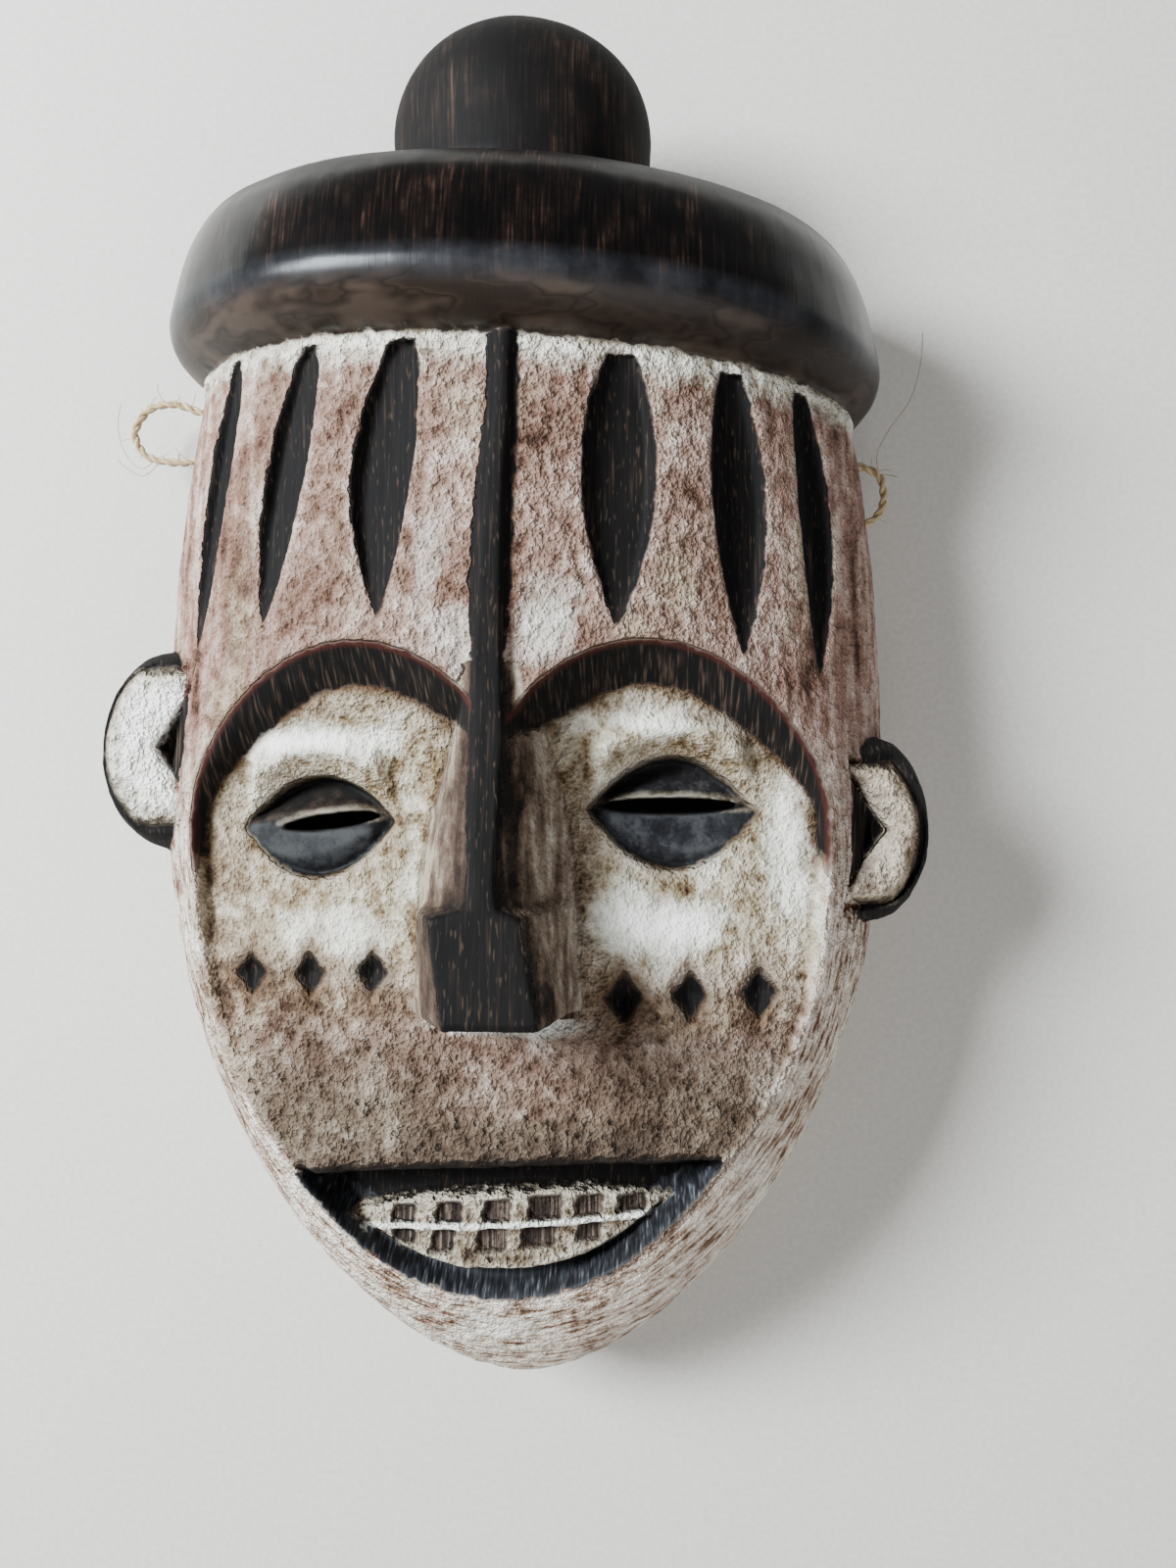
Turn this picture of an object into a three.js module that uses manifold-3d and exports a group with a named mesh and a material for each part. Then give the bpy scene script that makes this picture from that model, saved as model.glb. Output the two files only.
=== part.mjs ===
// A carved wooden mask: one hollow block with a cap, a knob, two ears and a heart-shaped face,
// and the twine that it hangs by. Millimetres. The mask lies on its back rim, so +Z looks out of
// the face, +Y runs from the chin to the cap and x = 0 is the middle of the head.
import * as THREE from 'three';
import { mergeVertices } from 'three/addons/utils/BufferGeometryUtils.js';
import Module from 'manifold-3d';

const wasm = await Module();
wasm.setup();

// Head block: an egg in plan, widest a little above the back rim.
const HEAD_HALF_WIDTH = 87.4;
const CHIN_REACH = 145;
const CHIN_FLATNESS = 2.1;
const CHIN_ROUNDNESS = 1.6;
const TEMPLE_NARROWING = 9.6;
const TEMPLE_LEVEL = 97.6;
const HEAD_TOP_LEVEL = 112;
const WIDEST_HEIGHT = 30;
const RIM_TAPER = 2.6;
const CROWN_HEIGHT = 76;
const CHIN_SLOPE_POWER = 3;
const CHIN_SLOPE_ROUNDNESS = 1.1;
const SHOULDER_POWER = 1.65;
const FOREHEAD_ROUNDNESS = 2.0;
const FACE_BOXINESS = 3.0;

// Face recess: the half outline from the notch over the nose to the middle of the chin.
const FACE_MIDDLE = -0.6;
const RECESS_CENTRE_LEVEL = -40;
const RECESS_HALF_OUTLINE = [
  [0, 12], [7.6, 20], [18, 27.2], [31, 30.2], [44, 27.8], [56, 20.2], [66, 8.5], [71.4, -5],
  [71.2, -26], [68.6, -48], [61.8, -67], [50.5, -84], [36.5, -100.5], [20, -112.5], [0, -117.6],
];
const BROW_BEVEL = 8.4;
const SIDE_BEVEL = 2.4;
const FACE_HEIGHT = 61;
const FACE_FALL_AT_SIDES = 5.5;
const FACE_FALL_SPAN = 62;
const BROW_RISE = 4.2;
const ORBIT_DEPTH = 4;
const ORBIT_OFFSET = 41;
const ORBIT_LEVEL = -6;

// Mouth: a lens cut below the upper-lip shelf, with a toothed lens standing in it.
const MOUTH_HALF_WIDTH = 48.6;
const MOUTH_LEVEL = -86.2;
const MOUTH_LEAN = 0.045;
const MOUTH_DROP = 31.2;
const MOUTH_FLOOR_HEIGHT = 47.5;
const TEETH_HALF_WIDTH = 37.4;
const TEETH_CENTRE = [-0.6, -96.6];
const TEETH_LEAN = 0.06;
const TEETH_RISE = 3.9;
const TEETH_DROP = 14.4;
const TEETH_HEIGHT = 53.6;
const TOOTH_NOTCH_DEPTH = 1.9;

// Eyes, and the slit that is cut through each.
const EYES = [
  { centre: [-43.6, -9.2], halfWidth: 18.4, rise: 11.4, drop: 12.4, lean: 0.04 },
  { centre: [36.6, -6.2], halfWidth: 19.4, rise: 12.6, drop: 13.2, lean: -0.03 },
];
const EYE_SLITS = [
  { centre: [-40.6, -8.5], halfWidth: 11.4, halfHeight: 1.7, lean: 0.12 },
  { centre: [35.8, -4.9], halfWidth: 16.6, halfHeight: 1.8, lean: 0 },
];
const EYE_SINK = 3.4;

// Three diamond scars on each cheek.
const SCAR_DEPTH = 3;
const SCARS = [
  { width: 7.4, height: 9.4, places: [[-58.7, -42.8], [-44.8, -42.6], [-30.2, -42.2]] },
  { width: 8.2, height: 11, places: [[26, -47.2], [40.4, -46.8], [55.9, -46.2]] },
];

// Forehead flutes: middle at the top, half way and at the tip, level of the tip, half width, depth.
const FLUTE_TOP_LEVEL = 99;
const FLUTES = [
  [-18.6, -25.2, -26, 35.2, 6.9, 3.6], [25.6, 25.4, 24.8, 33, 8, 3.8],
  [-40.8, -48.6, -53.6, 34.2, 5.4, 3.4], [47.4, 51.2, 51.8, 28, 6.6, 3.6],
  [-61.6, -68.2, -72.6, 31.6, 4.2, 2.8], [62.4, 69, 69.2, 23.4, 5, 3],
];

// Ridge and nose. Each row: level, middle, half width on top, half width at the foot, height.
const RIDGE_ROWS = [
  [100, 1.4, 1.1, 2.4, 77.6], [78, 0.8, 1.5, 3, 77.9], [60, -0.8, 1.9, 3.4, 78.2],
  [40, -1.8, 2.5, 4, 78.6], [22, -1.9, 2.8, 5.4, 78.8], [10, -1.5, 2.9, 10.5, 79.6],
  [-6, -2, 2.8, 14.6, 82.2], [-21, -2.2, 2.8, 16.6, 85.2], [-25.5, -1, 5, 17.3, 85.8],
  [-36, -0.6, 6.4, 18, 88], [-47.5, -0.2, 8.2, 18.6, 90], [-49.6, -0.6, 7.8, 18.8, 88.4],
];
const RIDGE_ROOT_HEIGHT = 50;
const RIDGE_FOOT_HEIGHT = 57;

// Cap, knob and ears.
const CAP_CENTRE_X = 0;
const CAP_HALF_WIDTH = 88.6;
const CAP_FRONT_HEIGHT = 88;
const CAP_WIDEST_HEIGHT = 20;
const CAP_LEAN = -0.066;
// Each step of the rolled edge: how far it is set in, and its level along the head.
const CAP_EDGE = [
  [21, 94.2], [14.5, 94.3], [9, 95.2], [4.6, 97.4], [1.4, 100.6], [0, 104.4], [0.6, 109],
  [2, 114.6], [4, 121], [7, 127.2], [11.4, 132], [17.6, 134.8], [26, 135.4],
];
const KNOB_CENTRE = [1.6, 151.4, 40];
const KNOB_RADIUS = 30.4;
const KNOB_TOP = 25;
// Each ear: side, middle in plan, reach outwards, half height.
const EARS = [[-1, 79.6, 8, 18.8, 23.8], [1, 79.4, -10.4, 16.6, 21.6]];
const EAR_FRONT_HEIGHT = 52;
const EAR_BACK_HEIGHT = 34;
const EAR_PIT_DEPTH = 9;

// Hollow back, twine holes and twine.
const WALL = 12;
const HOLLOW_HEIGHT = 47;
const HOLLOW_FOREHEAD_LIFT = 17;
const HOLLOW_TOP_LEVEL = 110;
const HOLLOW_CHIN_LEVEL = -128;
const TWINE_DIAMETER = 2.2;
const HOLE_RADIUS = 2;
const HOLE_HEIGHT = 13;
const HOLES = [[-1, 98], [-1, 85.6], [1, 82], [1, 66.4]];
const KNOT_RADIUS = 3.1;

const clamp01 = (value) => Math.min(1, Math.max(0, value));

const smoothStep = (low, high, value) => {
  const t = clamp01((value - low) / (high - low));
  return t * t * (3 - 2 * t);
};

// Closed geometry from a list of corner points and triangles, with doubles and slivers removed.
function closedGeometry(points, triangles) {
  const raw = new THREE.BufferGeometry();
  raw.setAttribute('position', new THREE.Float32BufferAttribute(points.flat(), 3));
  raw.setIndex(triangles.flat());
  const merged = mergeVertices(raw, 1e-3);
  const index = merged.index.array;
  const kept = [];
  for (let i = 0; i < index.length; i += 3) {
    const [a, b, c] = [index[i], index[i + 1], index[i + 2]];
    if (a !== b && b !== c && c !== a) kept.push(a, b, c);
  }
  merged.setIndex(kept);
  return merged;
}

function signedVolume(geometry) {
  const position = geometry.attributes.position;
  const index = geometry.index.array;
  const [a, b, c] = [new THREE.Vector3(), new THREE.Vector3(), new THREE.Vector3()];
  let volume = 0;
  for (let i = 0; i < index.length; i += 3) {
    a.fromBufferAttribute(position, index[i]);
    b.fromBufferAttribute(position, index[i + 1]);
    c.fromBufferAttribute(position, index[i + 2]);
    volume += a.dot(b.cross(c));
  }
  return volume;
}

// A solid body ready for joining and cutting, always with its faces outwards.
function body(geometry) {
  const clean = geometry.clone();
  clean.deleteAttribute('normal');
  clean.deleteAttribute('uv');
  const merged = mergeVertices(clean, 1e-4);
  const triangles = Uint32Array.from(merged.index.array);
  if (signedVolume(merged) < 0) {
    for (let i = 0; i < triangles.length; i += 3) {
      [triangles[i], triangles[i + 1]] = [triangles[i + 1], triangles[i]];
    }
  }
  const corners = Float32Array.from(merged.attributes.position.array);
  const shape = new wasm.Mesh({ numProp: 3, vertProperties: corners, triVerts: triangles });
  return new wasm.Manifold(shape);
}

// Skin over a row of closed rings with a fan on each end.
function ringLoft(rings) {
  const count = rings[0].length;
  const points = rings.flat();
  const triangles = [];
  for (let row = 0; row + 1 < rings.length; row += 1) {
    for (let i = 0; i < count; i += 1) {
      const j = (i + 1) % count;
      const [a, b] = [row * count + i, row * count + j];
      triangles.push([a, b, b + count], [a, b + count, a + count]);
    }
  }
  for (const [row, turned] of [[0, true], [rings.length - 1, false]]) {
    const middle = [0, 1, 2].map((axis) => rings[row].reduce((sum, p) => sum + p[axis], 0) / count);
    const hub = points.push(middle) - 1;
    for (let i = 0; i < count; i += 1) {
      const [a, b] = [row * count + i, row * count + ((i + 1) % count)];
      triangles.push(turned ? [hub, b, a] : [hub, a, b]);
    }
  }
  return closedGeometry(points, triangles);
}

// A block over a grid of plan positions, between a lower and an upper height.
function patchBlock(across, along, place, lower, upper) {
  const points = [];
  const triangles = [];
  for (const height of [lower, upper]) {
    for (let i = 0; i <= across; i += 1) {
      for (let j = 0; j <= along; j += 1) {
        const [x, y] = place(i / across, j / along);
        const pointed = Math.hypot(x - place(i / across, 0)[0], y - place(i / across, 0)[1]) < 1e-6;
        points.push([x, y, height(x, y, i / across, pointed ? 0 : j / along)]);
      }
    }
  }
  const layer = (across + 1) * (along + 1);
  const at = (i, j, top) => i * (along + 1) + j + (top ? layer : 0);
  const quad = (a, b, c, d) => triangles.push([a, b, c], [a, c, d]);
  for (let i = 0; i < across; i += 1) {
    for (let j = 0; j < along; j += 1) {
      quad(at(i, j, 0), at(i, j + 1, 0), at(i + 1, j + 1, 0), at(i + 1, j, 0));
      quad(at(i, j, 1), at(i + 1, j, 1), at(i + 1, j + 1, 1), at(i, j + 1, 1));
    }
    quad(at(i, 0, 0), at(i + 1, 0, 0), at(i + 1, 0, 1), at(i, 0, 1));
    quad(at(i + 1, along, 0), at(i, along, 0), at(i, along, 1), at(i + 1, along, 1));
  }
  for (let j = 0; j < along; j += 1) {
    quad(at(0, j + 1, 0), at(0, j, 0), at(0, j, 1), at(0, j + 1, 1));
    quad(at(across, j, 0), at(across, j + 1, 0), at(across, j + 1, 1), at(across, j, 1));
  }
  return closedGeometry(points, triangles);
}

function headHalfWidth(y) {
  if (y >= 0) return HEAD_HALF_WIDTH - TEMPLE_NARROWING * (y / TEMPLE_LEVEL) ** 2.4;
  const reach = clamp01(-y / CHIN_REACH) ** CHIN_FLATNESS;
  return HEAD_HALF_WIDTH * (1 - reach) ** (1 / CHIN_ROUNDNESS);
}

function crownHeight(y) {
  if (y >= 0) return CROWN_HEIGHT;
  const reach = clamp01(-y / CHIN_REACH) ** CHIN_SLOPE_POWER;
  return WIDEST_HEIGHT + (CROWN_HEIGHT - WIDEST_HEIGHT) * (1 - reach) ** (1 / CHIN_SLOPE_ROUNDNESS);
}

const sectionPower = (y) => (
  FACE_BOXINESS + (FOREHEAD_ROUNDNESS - FACE_BOXINESS) * smoothStep(-10, 45, y)
);

// Height of the uncut block over a place in plan.
function blockHeight(x, y) {
  const across = clamp01(Math.abs(x) / headHalfWidth(y)) ** sectionPower(y);
  const rise = (1 - across) ** (1 / SHOULDER_POWER);
  return WIDEST_HEIGHT + (crownHeight(y) - WIDEST_HEIGHT) * rise;
}

function headBlock() {
  const arcSteps = 26;
  const chinSteps = 23;
  const topSteps = 9;
  const levels = [];
  for (let i = 0; i <= chinSteps; i += 1) {
    levels.push(-CHIN_REACH * Math.cos((i / chinSteps) * (Math.PI / 2)));
  }
  for (let i = 1; i <= topSteps; i += 1) levels.push((HEAD_TOP_LEVEL * i) / topSteps);
  const rings = levels.map((y) => {
    const halfWidth = headHalfWidth(y);
    const power = sectionPower(y);
    const narrow = Math.min(RIM_TAPER, halfWidth);
    const ring = [];
    for (let i = 0; i <= arcSteps; i += 1) {
      const turn = (i / arcSteps) * Math.PI;
      const side = Math.sign(Math.cos(turn)) * Math.abs(Math.cos(turn)) ** (2 / power);
      const rise = Math.sin(turn) ** (2 / SHOULDER_POWER);
      const top = crownHeight(y) - WIDEST_HEIGHT;
      ring.push([halfWidth * side, y, WIDEST_HEIGHT + top * rise]);
    }
    ring.push([-halfWidth + narrow * 0.25, y, WIDEST_HEIGHT * 0.5]);
    ring.push([-halfWidth + narrow, y, 0]);
    ring.push([halfWidth - narrow, y, 0]);
    ring.push([halfWidth - narrow * 0.25, y, WIDEST_HEIGHT * 0.5]);
    return ring;
  });
  return body(ringLoft(rings));
}

// Level of the carved face without its nose, eyes and mouth.
function faceHeight(x, y) {
  const across = Math.abs(x - FACE_MIDDLE);
  const orbit = Math.exp(-(((across - ORBIT_OFFSET) / 24) ** 2) - ((y - ORBIT_LEVEL) / 16) ** 2);
  const fall = FACE_FALL_AT_SIDES * (across / FACE_FALL_SPAN) ** 2.4;
  const templeLift = 2 * smoothStep(56, 70, across) * smoothStep(-14, 4, y);
  const browLift = BROW_RISE * smoothStep(0, 24, y) + templeLift;
  return FACE_HEIGHT - fall - ORBIT_DEPTH * orbit + browLift + smoothStep(-60, -90, y);
}

// The heart-shaped outline as a smooth closed curve, mirrored about the middle of the face.
function recessOutline(count) {
  const right = RECESS_HALF_OUTLINE.map(([x, y]) => new THREE.Vector3(x + FACE_MIDDLE, y, 0));
  const left = RECESS_HALF_OUTLINE.slice(1, -1).reverse()
    .map(([x, y]) => new THREE.Vector3(-x + FACE_MIDDLE, y, 0));
  const curve = new THREE.CatmullRomCurve3([...right, ...left], true, 'centripetal');
  return curve.getSpacedPoints(count).slice(0, count);
}

function faceRecess() {
  const outline = recessOutline(72);
  const centre = new THREE.Vector3(FACE_MIDDLE, RECESS_CENTRE_LEVEL, 0);
  const clearAbove = 7;
  const rings = [[], [], [], [], [], []];
  const floorSteps = [1, 0.82, 0.61, 0.38, 0.14];
  for (const edge of outline) {
    const inward = centre.clone().sub(edge);
    const reach = inward.length();
    inward.normalize();
    const notch = 1 - Math.exp(-(((edge.x - FACE_MIDDLE) / 9) ** 2));
    const bevel = SIDE_BEVEL + (BROW_BEVEL - SIDE_BEVEL) * smoothStep(-8, 18, edge.y) * notch;
    const edgeHeight = blockHeight(edge.x, edge.y);
    const inner = edge.clone().addScaledVector(inward, bevel);
    const floor = faceHeight(inner.x, inner.y);
    const spread = (bevel * clearAbove) / Math.max(2, edgeHeight - floor);
    const outer = edge.clone().addScaledVector(inward, -spread);
    rings[0].push([outer.x, outer.y, edgeHeight + clearAbove]);
    floorSteps.forEach((step, row) => {
      const spot = centre.clone().addScaledVector(inward, -(reach - bevel) * step);
      const highest = edgeHeight - 1 + 40 * (1 - step);
      rings[row + 1].push([spot.x, spot.y, Math.min(faceHeight(spot.x, spot.y), highest)]);
    });
  }
  const geometry = ringLoft(rings);
  const position = geometry.attributes.position;
  // The hub that closes the top ring is lifted clear of the uncut block.
  for (let i = 0; i < position.count; i += 1) {
    const near = Math.hypot(position.getX(i) - FACE_MIDDLE, position.getY(i) - RECESS_CENTRE_LEVEL);
    if (near < 12 && position.getZ(i) > FACE_HEIGHT + 2) position.setZ(i, CROWN_HEIGHT + 40);
  }
  return body(geometry);
}

// Lens-shaped plan between two arcs that meet in both corners.
const lens = (centre, halfWidth, rise, drop, lean, fullness) => (u, v) => {
  const side = 2 * u - 1;
  const open = (1 - Math.abs(side) ** fullness);
  const y = centre[1] - drop * open + (rise + drop) * open * v;
  return [centre[0] + halfWidth * side, y + lean * halfWidth * side];
};

function mouthCut() {
  const plan = lens([FACE_MIDDLE, MOUTH_LEVEL], MOUTH_HALF_WIDTH, 1.2, MOUTH_DROP, MOUTH_LEAN, 2.1);
  const squeeze = (u, v) => plan(u, [0, 0.1, 0.5, 1][Math.round(v * 3)]);
  const floor = (x, y, u, v) => {
    const fall = 6.5 * Math.abs(2 * u - 1) ** 2;
    return v < 0.1 ? blockHeight(x, y) - 0.4 : MOUTH_FLOOR_HEIGHT - fall;
  };
  return body(patchBlock(22, 3, squeeze, floor, () => CROWN_HEIGHT + 4));
}

const teethPlan = lens(TEETH_CENTRE, TEETH_HALF_WIDTH, TEETH_RISE, TEETH_DROP, TEETH_LEAN, 2.4);

const teethHeight = (x) => (
  TEETH_HEIGHT - 8.2 * (Math.abs(x - TEETH_CENTRE[0]) / TEETH_HALF_WIDTH) ** 2
);

function teeth() {
  const top = (x, y, u, v) => teethHeight(x) - (v < 0.1 ? 2.2 : 0);
  const spread = (u, v) => teethPlan(u, [0, 0.12, 0.55, 1][Math.round(v * 3)]);
  return body(patchBlock(18, 3, spread, () => 38, top));
}

// Square notches in two rows, either side of the line where the teeth meet.
function toothNotches() {
  const upper = [[-27.6, 4.8], [-17.2, 5], [-6.4, 5.2], [4.4, 6.4], [14.6, 5.4], [23.6, 5.6]];
  const lower = [[-26.6, 4.6], [-17.8, 4.6], [-6.8, 6], [3.8, 6.6], [15, 4.4]];
  const cuts = [];
  const notch = (x, y, width, height) => {
    const block = new THREE.BoxGeometry(width, height, 2 * TOOTH_NOTCH_DEPTH);
    block.translate(x, y, teethHeight(x));
    cuts.push(body(block));
  };
  for (const [x, width] of upper) notch(x, -97.1 + TEETH_LEAN * x, width, 4.3);
  for (const [x, width] of lower) notch(x, -103.9 + TEETH_LEAN * x + 0.05 * Math.abs(x), width, 4.1);
  return cuts;
}

// Almond eye: sunk at its edge and swelling to the lids on either side of the slit.
function eyeCut({ centre, halfWidth, rise, drop, lean }) {
  const plan = lens(centre, halfWidth, rise, drop, lean, 2);
  const floor = (x, y, u, v) => {
    const lid = Math.sin(Math.PI * v) ** 0.7;
    const sink = EYE_SINK + 0.8 * smoothStep(0.5, 1, v);
    return faceHeight(centre[0], centre[1]) + 0.9 - (sink * (1 - lid) + 0.4);
  };
  return body(patchBlock(12, 6, plan, floor, () => FACE_HEIGHT + 12));
}

function eyeSlit({ centre, halfWidth, halfHeight, lean }) {
  const plan = lens(centre, halfWidth, halfHeight, halfHeight, lean, 2.6);
  return body(patchBlock(10, 1, plan, () => 20, () => FACE_HEIGHT + 12));
}

// Four-sided pit for one cheek scar.
function diamond(x, y, width, height) {
  const pit = new THREE.ConeGeometry(1, 2 * SCAR_DEPTH, 4, 1);
  pit.rotateX(-Math.PI / 2);
  pit.scale(width, height, 1);
  pit.translate(x, y, faceHeight(x, y));
  return body(pit);
}

// Leaf-shaped hollow on the forehead, sunk square to the surface there.
function flute(topX, middleX, tipX, tipY, halfWidth, depth) {
  const steps = 10;
  const rings = [];
  for (let i = 0; i <= steps; i += 1) {
    const s = i / steps;
    const y = FLUTE_TOP_LEVEL + (tipY - FLUTE_TOP_LEVEL) * s;
    const bow = 4 * s * (1 - s) * (middleX - (topX + tipX) / 2);
    const x = topX + (tipX - topX) * s + bow;
    const open = Math.max(0.02, Math.sin(Math.PI * clamp01(0.1 + 0.9 * s)) ** 0.9);
    const step = 0.5;
    const slopeX = (blockHeight(x + step, y) - blockHeight(x - step, y)) / (2 * step);
    const out = new THREE.Vector3(-slopeX, 0, 1).normalize();
    const across = new THREE.Vector3(out.z, 0, -out.x);
    const spot = new THREE.Vector3(x, y, blockHeight(x, y));
    const profile = [[-1, 5], [-1, 0], [-0.66, -0.78], [0, -1], [0.66, -0.78], [1, 0], [1, 5]];
    rings.push(profile.map(([side, sink]) => {
      const lift = sink > 0 ? sink : sink * depth * open;
      const at = spot.clone().addScaledVector(across, side * halfWidth * open);
      return at.addScaledVector(out, lift).toArray();
    }));
  }
  return body(ringLoft(rings));
}

// Ridge from the cap over the forehead, running on into the nose: a row of trapezoid sections.
function ridgeAndNose() {
  const rings = RIDGE_ROWS.map(([y, middle, top, foot, height]) => {
    const shoulder = height - 0.28 * (height - 60);
    const flank = top + 0.2 * (foot - top);
    const half = [
      [foot, RIDGE_ROOT_HEIGHT], [foot, RIDGE_FOOT_HEIGHT], [flank + 0.3, shoulder], [top, height],
    ];
    const left = half.map(([x, z]) => [middle - x, y, z]);
    return [...left, ...half.reverse().map(([x, z]) => [middle + x, y, z])];
  });
  return body(ringLoft(rings));
}

// Cap: D-shaped rings with a flat back, stacked along the head to form the rolled edge.
function cap() {
  const arcSteps = 30;
  const rings = CAP_EDGE.map(([inset, level]) => {
    const halfWidth = CAP_HALF_WIDTH - inset * 0.9;
    const rise = CAP_FRONT_HEIGHT - inset - CAP_WIDEST_HEIGHT;
    const ring = [];
    for (let i = 0; i <= arcSteps; i += 1) {
      const turn = (i / arcSteps) * Math.PI;
      const x = halfWidth * Math.cos(turn);
      ring.push([x, level, CAP_WIDEST_HEIGHT + rise * Math.sin(turn)]);
    }
    ring.push([-halfWidth + 1.6, level, 0], [halfWidth - 1.6, level, 0]);
    return ring.map(([x, y, z]) => [x + CAP_CENTRE_X, y + CAP_LEAN * x, z]);
  });
  return body(ringLoft(rings));
}

function knob() {
  const rows = 8;
  const sides = 24;
  const profile = [[-22, 0.93], [-8, 0.985]];
  for (let i = 1; i <= rows; i += 1) {
    const turn = (i / rows) * (Math.PI / 2);
    profile.push([KNOB_TOP * Math.sin(turn), Math.max(0.02, Math.cos(turn) ** 0.96)]);
  }
  const rings = profile.map(([level, share]) => {
    const ring = [];
    for (let i = 0; i < sides; i += 1) {
      const turn = (i / sides) * 2 * Math.PI;
      ring.push([
        KNOB_CENTRE[0] + KNOB_RADIUS * share * Math.cos(turn),
        KNOB_CENTRE[1] + level,
        KNOB_CENTRE[2] + KNOB_RADIUS * share * Math.sin(turn),
      ]);
    }
    return ring;
  });
  return body(ringLoft(rings));
}

// Ear: a rounded C-shaped slab against the side of the head, with a small pit by the cheek.
function ear(side, centreX, centreY, reach, halfHeight) {
  const steps = 15;
  // Each level: height, how far it is set in at the side, and at the top and bottom.
  const levels = [
    [EAR_BACK_HEIGHT, 3, 3], [EAR_BACK_HEIGHT + 4, 0.6, 0.6], [EAR_FRONT_HEIGHT - 9, 0, 0],
    [EAR_FRONT_HEIGHT - 2.6, 1.6, 3.4], [EAR_FRONT_HEIGHT, 4, 6.6],
  ];
  const root = -9;
  const rings = levels.map(([z, inset, trim]) => {
    const ring = [];
    for (let i = 0; i <= steps; i += 1) {
      const turn = -Math.PI / 2 + (i / steps) * Math.PI;
      const out = (reach - inset) * Math.cos(turn) ** 0.8;
      ring.push([side * (centreX + out), centreY + (halfHeight - trim) * Math.sin(turn), z]);
    }
    ring.push([side * (centreX + root), centreY + halfHeight * 0.7, z]);
    ring.push([side * (centreX + root), centreY - halfHeight * 0.7, z]);
    return ring;
  });
  const slab = body(ringLoft(rings));
  const pitOutline = [[-6, 8.4], [5.4, 0], [-6, -8.4]];
  const pit = [EAR_FRONT_HEIGHT - EAR_PIT_DEPTH, EAR_FRONT_HEIGHT + 4].map((z) => (
    pitOutline.map(([x, y]) => [side * (centreX + x), centreY + y, z])
  ));
  return slab.subtract(body(ringLoft(pit)));
}

function hollowHeight(y) {
  const brow = HOLLOW_HEIGHT + HOLLOW_FOREHEAD_LIFT * smoothStep(2, 40, y);
  const chin = clamp01(y / HOLLOW_CHIN_LEVEL);
  const end = clamp01((y - 80) / (HOLLOW_TOP_LEVEL - 80));
  return y < 0 ? HOLLOW_HEIGHT * (1 - chin ** 5) ** 0.7 : brow * (1 - 0.6 * end ** 2.5);
}

function hollowHalfWidth(y) {
  const end = clamp01((y - 88) / (HOLLOW_TOP_LEVEL - 88));
  const reach = clamp01(y / HOLLOW_CHIN_LEVEL) ** 2.3;
  const plain = headHalfWidth(Math.max(y, 0)) - WALL;
  return y < 0 ? plain * (1 - reach) ** (1 / 1.7) : plain - 22 * end ** 2;
}

function hollow() {
  const levels = [];
  const chinSteps = 10;
  const topSteps = 8;
  for (let i = 0; i <= chinSteps; i += 1) {
    levels.push(HOLLOW_CHIN_LEVEL * 0.995 * Math.cos((i / chinSteps) * (Math.PI / 2)));
  }
  for (let i = 1; i <= topSteps; i += 1) levels.push((HOLLOW_TOP_LEVEL * i) / topSteps);
  const arcSteps = 12;
  const rings = levels.map((y) => {
    const halfWidth = Math.max(1, hollowHalfWidth(y));
    const rise = Math.max(1, hollowHeight(y) - 4);
    const ring = [];
    for (let i = 0; i <= arcSteps; i += 1) {
      const turn = (i / arcSteps) * Math.PI;
      const side = Math.sign(Math.cos(turn)) * Math.abs(Math.cos(turn)) ** 0.8;
      ring.push([halfWidth * side, y, 4 + rise * Math.sin(turn) ** 0.95]);
    }
    ring.push([-halfWidth, y, -6], [halfWidth, y, -6]);
    return ring;
  });
  return body(ringLoft(rings));
}

// One bore through the side wall for the twine.
function twineHole(side, y) {
  const bore = new THREE.CylinderGeometry(HOLE_RADIUS, HOLE_RADIUS, 34, 10);
  bore.rotateZ(Math.PI / 2);
  bore.translate(side * (headHalfWidth(y) - 8), y, HOLE_HEIGHT);
  return body(bore);
}

function carvedMask() {
  let mask = headBlock().subtract(faceRecess());
  mask = mask.add(ridgeAndNose());
  mask = mask.subtract(mouthCut());
  mask = mask.add(teeth());
  for (const cut of toothNotches()) mask = mask.subtract(cut);
  for (const eye of EYES) mask = mask.subtract(eyeCut(eye));
  for (const row of FLUTES) mask = mask.subtract(flute(...row));
  for (const { width, height, places } of SCARS) {
    for (const [x, y] of places) mask = mask.subtract(diamond(x, y, width, height));
  }
  mask = mask.add(cap()).add(knob());
  for (const row of EARS) mask = mask.add(ear(...row));
  mask = mask.subtract(hollow());
  for (const slit of EYE_SLITS) mask = mask.subtract(eyeSlit(slit));
  for (const [side, y] of HOLES) mask = mask.subtract(twineHole(side, y));
  return mask;
}

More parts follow.
